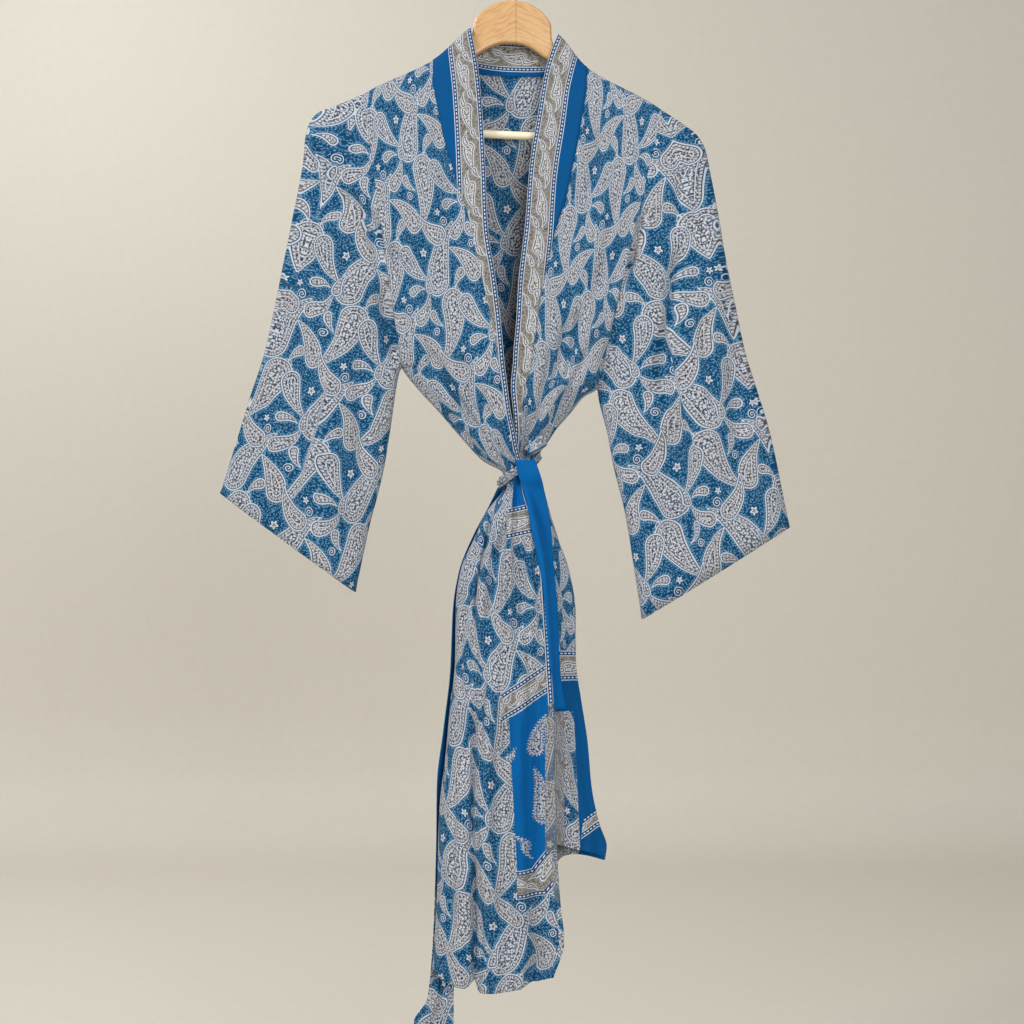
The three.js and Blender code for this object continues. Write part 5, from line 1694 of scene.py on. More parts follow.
@dataclass
class Wardrobe:
    """Every finish of the robe and hanger, made once and shared."""

    prints: Print = Print()
    dyes: Dyes = Dyes()

    def __post_init__(self) -> None:
        """Make the node groups that the materials share."""
        self.half_drop = half_drop_group()
        self.teardrop = teardrop_group()
        self.allover = self.prints.group(self.half_drop, self.teardrop)
        self.dashes = dash_group(self.dyes)
        self.taupe = taupe_group(self.dyes, self.teardrop)

    def printed(
        self, name: str, shift: tuple[float, float], turn: float = 0.0,
    ) -> bpy.types.Material:
        """The all-over print on one piece.

        Args:
            name: of the material.
            shift: of the print on the cloth.
            turn: of the print, in degrees.

        Returns:
            The material.
        """
        graph, surface, material = new_material(name)
        place = millimetres(graph, "UV", shift, turn)
        color = graph.group(self.allover, Place=place)["Color"]
        cloth_surface(graph, surface, color, place)
        return material

    def plain_blue(self) -> bpy.types.Material:
        """Plain blue cloth of the belt, in two slightly uneven blues.

        Returns:
            The material.
        """
        graph, surface, material = new_material("belt plain blue")
        place = millimetres(graph, "UV")
        tone = graph.noise(place, 0.03, 2.0)
        color = graph.choose(tone, linear(0, 84, 148), linear(0, 98, 164))
        cloth_surface(graph, surface, color, place)
        return material

    def side_end(self) -> bpy.types.Material:
        """Printed end of the belt: plain blue above, the print at its foot.

        Returns:
            The material.
        """
        graph, surface, material = new_material("belt end print")
        place = millimetres(graph, "UV", (18.0, 61.0), 3.0)
        printed = graph.group(self.allover, Place=place)["Color"]
        _, _, z = graph.split(millimetres(graph, "Object"))
        blue = blue_socket(graph, linear(*self.dyes.strip))
        color = graph.choose(graph.math("LESS_THAN", z, SIDE_END_PRINT_TOP), blue, printed)
        cloth_surface(graph, surface, color, place)
        return material

    def neckband(self) -> bpy.types.Material:
        """Neckband: dashes, taupe border, dashes and plain blue, from the free edge.

        Returns:
            The material.
        """
        graph, surface, material = new_material("neckband border")
        place = millimetres(graph, "UV")
        across, along, _ = graph.split(place)
        across = graph.math("ABSOLUTE", across)
        plan = BandPlan()
        stripes = ((self.dashes, plan.first), (self.dashes, plan.second),
                   (self.taupe, plan.border))
        first, second, border = (
            graph.group(tree, Across=graph.math("SUBTRACT", across, at), Along=along)["Color"]
            for tree, at in stripes
        )
        color = graph.choose(graph.below(across, plan.border_end), second, border)
        color = graph.choose(graph.below(across, plan.first_end), color, first)
        blue = graph.rest(graph.below(across, plan.second_end))
        color = graph.choose(blue, color, linear(*self.dyes.strip))
        x, _, z = graph.split(millimetres(graph, "Object"))
        skirt_print = graph.group(self.allover, Place=graph.join(x, z))["Color"]
        strip = graph.choose(TAUPE_SHARE, skirt_print, linear(*self.dyes.taupe))
        color = graph.choose(graph.math("LESS_THAN", z, BAND_STRIP_TOP), color, strip)
        color = graph.choose(graph.math("LESS_THAN", z, BAND_STRIP_FOOT), color, skirt_print)
        cloth_surface(graph, surface, color, place)
        return material

    def _stripe(
        self, graph: Graph, spot: object, edge: Edge, color: object, at: float,
    ) -> bpy.types.NodeSocket:
        """Lay a dashed stripe beside an edge over a colour.

        Args:
            graph: of the material.
            spot: place on the hanging cloth.
            edge: that the stripe follows.
            color: under it.
            at: distance of its middle from the edge.

        Returns:
            The new colour socket.
        """
        across = graph.math("SUBTRACT", edge.distance(graph, spot), at)
        stripe = graph.group(self.dashes, Across=across, Along=edge.run(graph, spot))["Color"]
        return graph.choose(graph.between(across, -3.3, 3.3), color, stripe)

    def _border(
        self, graph: Graph, spot: object, edge: Edge, color: object, at: float,
        half: float,
    ) -> bpy.types.NodeSocket:
        """Lay a taupe border beside an edge, with a dashed stripe on both sides.

        Args:
            graph: of the material.
            spot: place on the hanging cloth.
            edge: that the border follows.
            color: under it.
            at: distance of its middle from the edge.
            half: half its width.

        Returns:
            The new colour socket.
        """
        across = graph.math("SUBTRACT", edge.distance(graph, spot), at)
        border = graph.group(self.taupe, Across=across, Along=edge.run(graph, spot))["Color"]
        color = graph.choose(graph.between(across, -half, half), color, border)
        color = self._stripe(graph, spot, edge, color, at - half)
        return self._stripe(graph, spot, edge, color, at + half)

    def _ragged(
        self, graph: Graph, spot: object, drops: Sequence[Teardrop], color: object,
    ) -> bpy.types.NodeSocket:
        """Lay single paisleys with ragged edges on a plain ground.

        Args:
            graph: of the material.
            spot: place on the hanging cloth.
            drops: where they lie; y is the height.
            color: of the ground.

        Returns:
            The new colour socket.
        """
        x, _, z = graph.split(spot)
        flat = graph.join(x, z)
        top: object = NO_MOTIF
        for one in drops:
            away = graph.vector("SUBTRACT", flat, (one.x, one.y, 0.0))
            top = lay_teardrop(graph, self.teardrop, one, away, top)
        distance, run, _ = graph.split(top)
        speck = graph.cells(flat, 1 / 2.2, 0.9)
        motif, line = linear(*self.prints.motif), linear(*self.prints.line)
        fill = graph.choose(graph.below(speck, 0.35, 0.2), motif, line)
        dark = graph.both(graph.math("GREATER_THAN", speck, 0.66), graph.below(distance, -1.6))
        fill = graph.choose(dark, fill, linear(*self.prints.dark))
        ring = graph.between(distance, -3.6, -2.8)
        fill = graph.choose(ring, fill, linear(*self.dyes.blue))
        wave = graph.math("SINE", graph.math("MULTIPLY", run, 2.0))
        spike = graph.math("MULTIPLY_ADD", wave, 1.5, distance)
        ragged = graph.below(spike, 0.9, 0.4)
        return graph.choose(ragged, color, fill)

    def right_front(self) -> bpy.types.Material:
        """Right front: all-over print, with the cloth's plain blue end in the skirt.

        Returns:
            The material.
        """
        graph, surface, material = new_material("right front print")
        place = millimetres(graph, "UV", (12.0, 30.0))
        spot = millimetres(graph, "Object")
        color = graph.group(self.allover, Place=place)["Color"]
        blue = linear(*self.dyes.blue)
        # the blue end, under a slanting border
        top = Edge(-13.0, -904.5, 34.2, -873.8)
        left = Edge(1.2, -1076.8, -8.3, -904.5)
        foot = Edge(39.0, -1050.0, 20.0, -1074.0)
        sole = Edge(20.0, -1075.5, 0.0, -1077.0)
        depth = graph.math("MINIMUM", top.distance(graph, spot), left.distance(graph, spot))
        depth = graph.math("MINIMUM", depth, foot.distance(graph, spot))
        depth = graph.math("MINIMUM", depth, sole.distance(graph, spot))
        inside_left = graph.rest(graph.below(left.distance(graph, spot), -8.0))
        bordered = self._border(graph, spot, top, color, -15.0, 11.0)
        near_top = graph.between(top.distance(graph, spot), -30.0, 2.0)
        color = graph.choose(graph.both(near_top, inside_left), color, bordered)
        low = graph.math("MINIMUM", foot.distance(graph, spot), sole.distance(graph, spot))
        x, _, z = graph.split(spot)
        stripes = ((self.taupe, HEM_BORDER), (self.dashes, HEM_RIM), (self.dashes, HEM_FAR_RIM))
        hem, rim, far_rim = (
            graph.group(tree, Across=graph.math("ADD", low, out), Along=x)["Color"]
            for tree, out in stripes
        )
        right_of = graph.rest(graph.below(x, 1.0))
        color = graph.choose(graph.both(graph.between(low, -26.0, 0.0), right_of), color, hem)
        far = graph.both(graph.between(low, -31.0, -25.5), right_of)
        color = graph.choose(far, color, far_rim)
        color = graph.choose(graph.math("GREATER_THAN", depth, 0.0), color, blue)
        color = graph.choose(graph.both(graph.between(low, -4.0, 1.6), right_of), color, rim)
        drops = (
            Teardrop(26.0, -920.0, 84, 38, 8.5, -0.2), Teardrop(29.0, -990.0, 90, 52, 11.0, 0.2),
            Teardrop(-6.0, -944.0, 30, 14, 3.4, 0.5), Teardrop(7.0, -1042.0, 110, 18, 3.8, 0.6),
            Teardrop(12.0, -1052.0, -100, 16, 3.6, 0.7),
        )
        painted = self._ragged(graph, spot, drops, color)
        within = graph.both(graph.between(z, PANEL_FOOT, PANEL_TOP),
                            graph.math("GREATER_THAN", x, PANEL_INNER_X))
        color = graph.choose(within, color, painted)
        edge_strip = graph.both(graph.between(z, EDGE_STRIP_FOOT, EDGE_STRIP_TOP),
                                graph.math("GREATER_THAN", x, EDGE_STRIP_X))
        flat = graph.join(x, z)
        edge_print = graph.group(self.allover, Place=flat)["Color"]
        edge_print = graph.choose(TAUPE_SHARE, edge_print, linear(*self.dyes.taupe))
        color = graph.choose(edge_strip, color, edge_print)
        # the small blue end under the knot
        knee = Edge(-8.3, -659.1, 13.0, -654.4)
        side = Edge(-7.5, -700.0, -2.4, -622.5)
        over = side.distance(graph, spot)
        below_knot = self._border(graph, spot, knee, color, 17.5, 14.0)
        drop = graph.both(graph.between(knee.distance(graph, spot), 0.0, 36.0),
                          graph.math("GREATER_THAN", over, -4.0))
        color = graph.choose(drop, color, below_knot)
        high = graph.both(graph.math("LESS_THAN", knee.distance(graph, spot), 0.6),
                          graph.math("GREATER_THAN", over, 0.0))
        high = graph.both(high, graph.math("LESS_THAN", z, -600.0))
        color = graph.choose(high, color, blue)
        cloth_surface(graph, surface, color, place)
        return material

    def left_front(self) -> bpy.types.Material:
        """Left front: all-over print, with the bordered blue corner that swings out.

        Returns:
            The material.
        """
        graph, surface, material = new_material("left front print")
        place = millimetres(graph, "UV", (64.0, 8.0))
        spot = millimetres(graph, "Object")
        color = graph.group(self.allover, Place=place)["Color"]
        blue = linear(*self.dyes.strip)
        x, _, z = graph.split(spot)
        belt_line = Edge(40.0, -828.0, 80.0, -829.0)
        edged = self._border(graph, spot, belt_line, color, 14.0, 14.0)
        flap = graph.math("GREATER_THAN", x, FLAP_INNER_X)
        band = graph.between(belt_line.distance(graph, spot), -3.3, 31.3)
        color = graph.choose(graph.both(band, flap), color, edged)
        under = graph.both(graph.math("LESS_THAN", z, FLAP_BLUE_TOP), flap)
        inner = Edge(73.0, -1020.0, 65.6, -862.0)
        strip = graph.math("LESS_THAN", inner.distance(graph, spot), 0.0)
        yoke = graph.math("GREATER_THAN", z, YOKE_FOOT)
        tip_top = Edge(79.1, -1020.2, 92.7, -1011.3)
        tip_side = Edge(73.2, -1062.6, 78.5, -1018.0)
        tip = graph.both(graph.math("GREATER_THAN", tip_top.distance(graph, spot), 0.0),
                         graph.math("GREATER_THAN", tip_side.distance(graph, spot), 0.0))
        grey = graph.both(graph.both(strip, graph.math("LESS_THAN", x, 56.0)), under)
        taupe = graph.group(self.taupe, Across=graph.math("SUBTRACT", x, 49.0), Along=z)["Color"]
        pale = graph.choose(0.55, taupe, linear(*self.prints.motif))
        color = graph.choose(grey, color, pale)
        right_side = graph.both(graph.rest(strip), under)
        color = graph.choose(right_side, color, blue)
        color = graph.choose(graph.both(yoke, under), color, blue)
        tipped = self._border(graph, spot, tip_top, blue_socket(graph, blue), 8.0, 6.5)
        color = graph.choose(tip, color, tipped)
        cloth_surface(graph, surface, color, place)
        return material

    def pine(self) -> bpy.types.Material:
        """Lacquered pine of the arms, glued in a shallow V under the hook.

        Returns:
            The material.
        """
        graph, surface, material = new_material("lacquered pine")
        spot = millimetres(graph, "Object")
        x, _, z = graph.split(spot)
        fall = graph.math("MULTIPLY_ADD", graph.math("ABSOLUTE", x), 0.5, z)
        grain_place = graph.join(graph.math("MULTIPLY", x, 0.05), fall, x)
        wander = graph.noise(graph.vector("MULTIPLY", grain_place, (0.4, 0.12, 0.02)), 1.0, 3.0)
        rings = graph.math("MULTIPLY_ADD", wander, 9.0, graph.math("MULTIPLY", fall, 0.32))
        ring = graph.math("PINGPONG", rings, 1.0)
        fibre = graph.noise(graph.vector("MULTIPLY", grain_place, (3.0, 1.6, 0.05)), 1.0, 4.0)
        late = graph.math("POWER", ring, 2.2)
        color = graph.choose(late, linear(204, 160, 106), linear(182, 128, 74))
        color = graph.choose(graph.math("MULTIPLY", fibre, 0.35), color, linear(216, 180, 130))
        joint = graph.below(graph.math("ABSOLUTE", x), 0.35)
        color = graph.choose(graph.math("MULTIPLY", joint, 0.7), color, linear(120, 78, 44))
        graph.feed(surface.inputs["Base Color"], color)
        surface.inputs["Coat Weight"].default_value = 0.35
        surface.inputs["Coat Roughness"].default_value = 0.22
        set_finish(graph, surface, Finish(roughness=0.42, grain=0.2), fibre)
        return material

    def pale_pine(self) -> bpy.types.Material:
        """Pale turned wood of the trouser bar.

        Returns:
            The material.
        """
        graph, surface, material = new_material("bar pine")
        spot = millimetres(graph, "Object")
        fibre = graph.noise(graph.vector("MULTIPLY", spot, (0.03, 1.2, 1.2)), 1.0, 4.0)
        color = graph.choose(fibre, linear(250, 240, 214), linear(240, 222, 186))
        graph.feed(surface.inputs["Base Color"], color)
        set_finish(graph, surface, Finish(roughness=0.4, grain=0.2), fibre)
        return material

    def steel(self) -> bpy.types.Material:
        """Drawn steel wire of the hook.

        Returns:
            The material.
        """
        graph, surface, material = new_material("drawn steel")
        spot = millimetres(graph, "Object")
        drawn = graph.noise(spot, 2.0, 2.0)
        color = graph.choose(drawn, linear(200, 202, 205), linear(168, 171, 176))
        graph.feed(surface.inputs["Base Color"], color)
        set_finish(graph, surface, Finish(roughness=0.24, metallic=1.0, grain=0.1), drawn)
        return material

    def backdrop(self) -> bpy.types.Material:
        """Plain pale beige paper.

        Returns:
            The material.
        """
        graph, surface, material = new_material("backdrop paper")
        spot = millimetres(graph, "Object")
        fleck = graph.noise(spot, 0.05, 3.0)
        color = graph.choose(fleck, linear(220, 214, 202), linear(214, 208, 196))
        graph.feed(surface.inputs["Base Color"], color)
        set_finish(graph, surface, Finish(roughness=0.9, grain=0.05), fleck)
        return material


def blue_socket(graph: Graph, color: tuple[float, float, float, float]) -> bpy.types.NodeSocket:
    """A very slightly uneven plain colour as a socket.

    Args:
        graph: tree to work in.
        color: the plain colour.

    Returns:
        The colour socket.
    """
    spot = graph.add("ShaderNodeTexCoord").outputs["Object"]
    shade = tuple(channel * 0.9 for channel in color[:3])
    return graph.choose(graph.noise(spot, 14.0), (*shade, 1.0), color)


# ---- the pieces ----------------------------------------------------------------------


def row_places(form: RobeForm, step: float = 4.5) -> list[float]:
    """Places of the rows of a body panel, close together on the shoulder.

    Args:
        form: shape of the robe.
        step: largest drop from row to row, in millimetres.

    Returns:
        Places from 0 on the shoulder to the hem.
    """
    places = [(k / 5) ** 2 for k in range(5)]
    for number in range(1, HEM_ROW):
        high, low = form.section(number), form.section(number + 1)
        drops = (
            high.right_side_z - low.right_side_z, high.right_edge_z - low.right_edge_z,
            high.left_edge_z - low.left_edge_z, high.left_side_z - low.left_side_z,
        )
        steps = max(1, math.ceil(max(abs(drop) for drop in drops) / step))
        places += [number + k / steps for k in range(steps)]
    return places + [float(HEM_ROW)]


def grid_normals(points: list[list[Vector]], outward: Vector) -> list[list[Vector]]:
    """Unit normals of a sheet's points, on the side that shows.

    Args:
        points: rows of the sheet.
        outward: side that shows.

    Returns:
        A normal for each point.
    """
    normals = []
    last_row, last_column = len(points) - 1, len(points[0]) - 1
    for j, row in enumerate(points):
        line = []
        for i in range(len(row)):
            along = row[min(i + 1, last_column)] - row[max(i - 1, 0)]
            down = points[min(j + 1, last_row)][i] - points[max(j - 1, 0)][i]
            line.append(along.cross(down).normalized())
        normals.append(line)
    every = [(p.dot(outward), n) for row, ns in zip(points, normals) for p, n in zip(row, ns)]
    facing = max(every, key=lambda pair: pair[0])[1]
    if facing.dot(outward) < 0:
        normals = [[-normal for normal in line] for line in normals]
    return normals


def hemmed(points: list[list[Vector]], outward: Vector, width: float = 9.0) -> list[list[Vector]]:
    """Turn up a hem along the last row: doubled cloth, with its seam pulled in.

    Args:
        points: the sheet.
        outward: side that shows.
        width: of the hem, in millimetres.

    Returns:
        The sheet with its hem.
    """
    normals = grid_normals(points, outward)
    down = [running_length(column) for column in zip(*points)]
    result = []
    for j, row in enumerate(points):
        line = []
        for i, point in enumerate(row):
            left = down[i][-1] - down[i][j]
            pucker = 0.12 * math.sin(i * 0.9) if left < width else 0.0
            rise = 0.35 * smooth((width - left) / 2) + pucker
            rise -= 0.4 * math.exp(-((left - width) / 1.6) ** 2)
            line.append(point + normals[j][i] * rise)
        result.append(line)
    return result


@dataclass
class RobeBody:
    """The back and both fronts, each one piece of printed cloth from shoulder to hem."""

    form: RobeForm
    tuck: float = 3.0               # cloth hidden under the neckband
    front_columns: int = 110
    back_columns: int = 150
    back_cut: tuple[float, float] = (0.216, 1.13)
    right_cut: tuple[float, float] = (0.129, 1.10)
    left_cut: tuple[float, float] = (0.078, 1.00)

    def __post_init__(self) -> None:
        """Work out the sections that all pieces share."""
        self.rows = [self.form.section(place) for place in row_places(self.form)]

    def right_points(self) -> list[list[Vector]]:
        """Points of the right front.

        Returns:
            Rows of points in millimetres.
        """
        points = []
        for row in self.rows:
            width = row.right_edge_x - row.right_side_x + row.wrap * row.front
            end = row.right_seam + self.tuck / width
            points.append([
                self.form.right_front(row, end * t ** 1.25) for t in even(self.front_columns)
            ])
        return points

    def left_points(self) -> list[list[Vector]]:
        """Points of the left front.

        Returns:
            Rows of points in millimetres.
        """
        points = []
        for row in self.rows:
            width = row.left_band / max(1e-6, 1 - row.left_seam)
            end = min(1.0, row.left_seam + self.tuck / width)
            points.append([
                self.form.left_front(row, end * t ** mix(1.25, 1.0, row.flap))
                for t in even(self.front_columns)
            ])
        return points

    def back_points(self) -> list[list[Vector]]:
        """Points of the back.

        Returns:
            Rows of points in millimetres.
        """
        shares = [mix(t, (1 - math.cos(math.pi * t)) / 2, 0.5) for t in even(self.back_columns)]
        tops = [self.form.back_top(share) for share in shares]
        return [
            [self.form.back(row, share, top) for share, top in zip(shares, tops)]
            for row in self.rows
        ]

    def build(self, wardrobe: Wardrobe) -> list[bpy.types.Object]:
        """Make the three pieces.

        Args:
            wardrobe: the finishes.

        Returns:
            The pieces.
        """
        front, behind = Vector((0, -1, 0)), Vector((0, 1, 0))
        self.right_grid = hemmed(self.right_points(), front)
        self.left_grid = hemmed(self.left_points(), front)
        self.back_grid = hemmed(self.back_points(), behind)
        plans = (
            ("front_right_cloth", ("front_right_top", "front_right_skirt"), self.right_grid,
             front, self.front_columns, wardrobe.right_front(), self.right_cut),
            ("front_left_cloth", ("front_left_top", "front_left_skirt"), self.left_grid,
             front, self.front_columns, wardrobe.left_front(), self.left_cut),
            ("back_cloth", ("back_top", "back_skirt"), self.back_grid, behind,
             self.back_columns // 2, wardrobe.printed("back print", (5.0, 48.0)), self.back_cut),
        )
        pieces = []
        for name, node_names, grid, outward, anchor, material, cut in plans:
            cloth = Cloth(name, node_names, "print_cloth", grid, outward, anchor=anchor)
            pieces.append(declare(cloth.build(), material, cut))
        return pieces


def declare(
    piece: bpy.types.Object, material: bpy.types.Material, cut: tuple[float, float],
) -> bpy.types.Object:
    """Dress a piece of cloth and name its cut.

    Args:
        piece: the cloth.
        material: its finish.
        cut: width and length of the flat cloth that shows, in metres.

    Returns:
        The piece.
    """
    piece.data.materials.append(material)
    area = sum(face.area for face in piece.data.polygons)
    log.info("%s: %d faces, %.4f m2, cut %.4f m2", piece.name, len(piece.data.polygons),
             area, cut[0] * cut[1])
    return piece


@dataclass
class Neckband:
    """Long folded band, from the hem up the right front, round the neck and down the left."""

    body: RobeBody
    columns: int = 12
    lift: float = 0.75
    overlap: float = 1.2
    cut: tuple[float, float] = (0.0194, 2.34)

    def _front(self, row: SimpleNamespace, hand: Hand) -> list[Vector]:
        """Points across the band on a front, from its free edge to its seam.

        Args:
            row: the section.
            hand: which front.

        Returns:
            The points.
        """
        form = self.body.form
        point = form.right_front if hand is Hand.RIGHT else form.left_front
        seam = row.right_seam if hand is Hand.RIGHT else row.left_seam
        band = row.right_band if hand is Hand.RIGHT else row.left_band
        start = seam - self.overlap / (band / max(1e-6, 1 - seam))
        return [point(row, mix(1.0, start, t)) for t in even(self.columns)]

    def points(self) -> list[list[Vector]]:
        """Points of the whole band.

        Returns:
            Rows of points in millimetres.
        """
        right = [self._front(row, Hand.RIGHT) for row in reversed(self.body.rows)]
        left = [self._front(row, Hand.LEFT) for row in self.body.rows]
        table = [Curve(column) for column in zip(*BACK_NECK)]
        back = []
        for k in range(31):
            seam_x, seam_z, free_x, free_z, y = (column.at(k / 5) for column in table)
            back.append([
                Vector((mix(free_x, seam_x, t), y + 0.2 + 1.5 * math.sin(math.pi * t),
                        mix(free_z, seam_z - self.overlap, t)))
                for t in even(self.columns)
            ])
        return right + back + left

    def build(self, wardrobe: Wardrobe) -> bpy.types.Object:
        """Make the band, lifted just clear of the cloth under it.

        Args:
            wardrobe: the finishes.

        Returns:
            The piece.
        """
        points = self.points()
        normals = grid_normals(points, Vector((0, -1, 0)))
        self.grid = [
            [point + normal * self.lift for point, normal in zip(row, line)]
            for row, line in zip(points, normals)
        ]
        cloth = Cloth("neckband_cloth", ("neckband",), "band_cloth", self.grid,
                      Vector((0, -1, 0)), thickness=1.2, spread=0.0)
        return declare(cloth.build(), wardrobe.neckband(), self.cut)


@dataclass
class Sleeve:
    """Wide kimono sleeve, one cloth folded along its top and open at the cuff."""

    form: RobeForm
    hand: Hand
    around: int = 160
    rows: int = 96
    seed: float = 11.0
    cut: tuple[float, float] = (0.42, 0.39)

    def points(self) -> list[list[Vector]]:
        """Points of the sleeve, from the armhole to the cuff.

        Returns:
            Rows of points in millimetres.
        """
        table = SLEEVE_RIGHT if self.hand is Hand.RIGHT else SLEEVE_LEFT
        columns = table_curves(table)
        last = len(table) - 1
        points = []
        for j in range(self.rows + 1):
            place = last * (j / self.rows) ** 1.15
            points.append([
                self.form.sleeve(columns, place, (180 + 360 * t) % 360, self.seed)
                for t in even(self.around)
            ])
        return points

    def flat_cut(self, points: list[list[Vector]]) -> list[list[tuple[float, float]]]:
        """Place of every point on the flat sleeve, unfolded along its outer fold.

        Args:
            points: the sleeve as it hangs.

        Returns:
            Places in millimetres; the back of the sleeve has them under zero.
        """
        middle = self.around // 2
        grain = (points[-1][middle] - points[0][middle]).normalized()
        across = Vector((grain.z, 0, -grain.x)) * self.hand.value
        start = points[0][middle]
        laid = []
        for row in points:
            deep = max(abs(point.y) for point in row)
            line = []
            for i, point in enumerate(row):
                away = abs(i - middle) / middle
                rise = abs(point.y) if away < 0.5 else 2 * deep - abs(point.y)
                reach = abs((point - start).dot(across)) + rise
                line.append((reach if i >= middle else -reach, (start - point).dot(grain)))
            laid.append(line)
        return laid

    def build(self, wardrobe: Wardrobe) -> bpy.types.Object:
        """Make the sleeve.

        Args:
            wardrobe: the finishes.

        Returns:
            The piece.
        """
        side = "right" if self.hand is Hand.RIGHT else "left"
        shift = (30.0, 3.0) if self.hand is Hand.RIGHT else (81.0, 44.0)
        outward = Vector((0, -1, 0))
        grid = hemmed(self.points(), outward)
        cloth = Cloth(f"sleeve_{side}_cloth", (f"sleeve_{side}",), "print_cloth", grid,
                      outward, closed=True, flat=self.flat_cut(grid))
        material = wardrobe.printed(f"{side} sleeve print", shift, 4.0 * self.hand.value)
        return declare(cloth.build(), material, self.cut)


@dataclass
class BeltEnd:
    """Loose end of the tie belt, lying on the cloth under it."""

    name: str
    node_name: str
    slot: str
    table: tuple[tuple[float, float, float], ...]
    outward: Vector
    floor_high: float
    floor_low: float
    split: float
    lift: float
    columns: int
    cut: tuple[float, float]
    crest: float = 0.8
    groove: float = 0.0
    step: float = 5.0
    passes: int = 6             # of smoothing

    def points(self, skins: Sequence[BVHTree]) -> list[list[Vector]]:
        """Points of the end, laid on the cloth.

        Args:
            skins: surfaces that it lies on, in millimetres.

        Returns:
            The points.
        """
        left, right, height = (Curve(column) for column in zip(*self.table))
        length = abs(self.table[0][2] - self.table[-1][2])
        rows = int(length / self.step)
        flat = []
        for j in range(rows + 1):
            place = (len(self.table) - 1) * j / rows
            z = height.at(place)
            flat.append([(mix(left.at(place), right.at(place), t), z) for t in even(self.columns)])
        depth = [[self._depth(skins, x, z) for x, z in row] for row in flat]
        for _ in range(self.passes):
            depth = [
                [(depth[max(j - 1, 0)][i] + depth[min(j + 1, rows)][i]
                  + depth[j][max(i - 1, 0)] + depth[j][min(i + 1, self.columns)]
                  + 2 * depth[j][i]) / 6 for i in range(self.columns + 1)]
                for j in range(rows + 1)
            ]
        points = []
        for j, row in enumerate(flat):
            line = []
            for i, (x, z) in enumerate(row):
                t = i / self.columns
                curl = self.crest * math.sin(math.pi * t)
                curl += 0.5 * noise.noise(Vector((x / 9, z / 26, 2)))
                curl -= self.groove * math.exp(-((t - 0.5) / 0.09) ** 2) * smooth(j / rows * 3)
                y = (depth[j][i] + self.lift + curl) * self.outward.y
                line.append(Vector((x, y, z)))
            points.append(line)
        return points

    def _depth(self, skins: Sequence[BVHTree], x: float, z: float) -> float:
        """How far the cloth under a point stands out, never less than the floor.

        Args:
            skins: surfaces under it, in millimetres.
            x: across, in millimetres.
            z: height, in millimetres.

        Returns:
            The depth in millimetres.
        """
        best = self.floor_high if z > self.split else self.floor_low
        for dx, dz in ((0, 0), (-3, 0), (3, 0), (0, 5), (0, -5)):
            start = Vector((x + dx, 200 * self.outward.y, z + dz))
            for skin in skins:
                hit = skin.ray_cast(start, -self.outward)[0]
                if hit is not None:
                    best = max(best, hit.y * self.outward.y)
        return best

    def build(
        self, material: bpy.types.Material, skins: Sequence[BVHTree], rests_on: str,
    ) -> bpy.types.Object:
        """Make the end.

        Args:
            material: its finish.
            skins: surfaces that it lies on.
            rests_on: name of the cloth under it; not used.

        Returns:
            The piece.
        """
        cloth = Cloth(self.name, (self.node_name,), self.slot, self.points(skins),
                      self.outward, thickness=0.9, anchor=-1, spread=0.0)
        return declare(cloth.build(), material, self.cut)


def skin_of(points: list[list[Vector]]) -> BVHTree:
    """Search tree of a sheet of points.

    Args:
        points: rows of the sheet.

    Returns:
        The tree.
    """
    width = len(points[0])
    vertices = [point for row in points for point in row]
    faces = [
        (j * width + i, j * width + i + 1, (j + 1) * width + i + 1, (j + 1) * width + i)
        for j in range(len(points) - 1) for i in range(width - 1)
    ]
    return BVHTree.FromPolygons(vertices, faces)


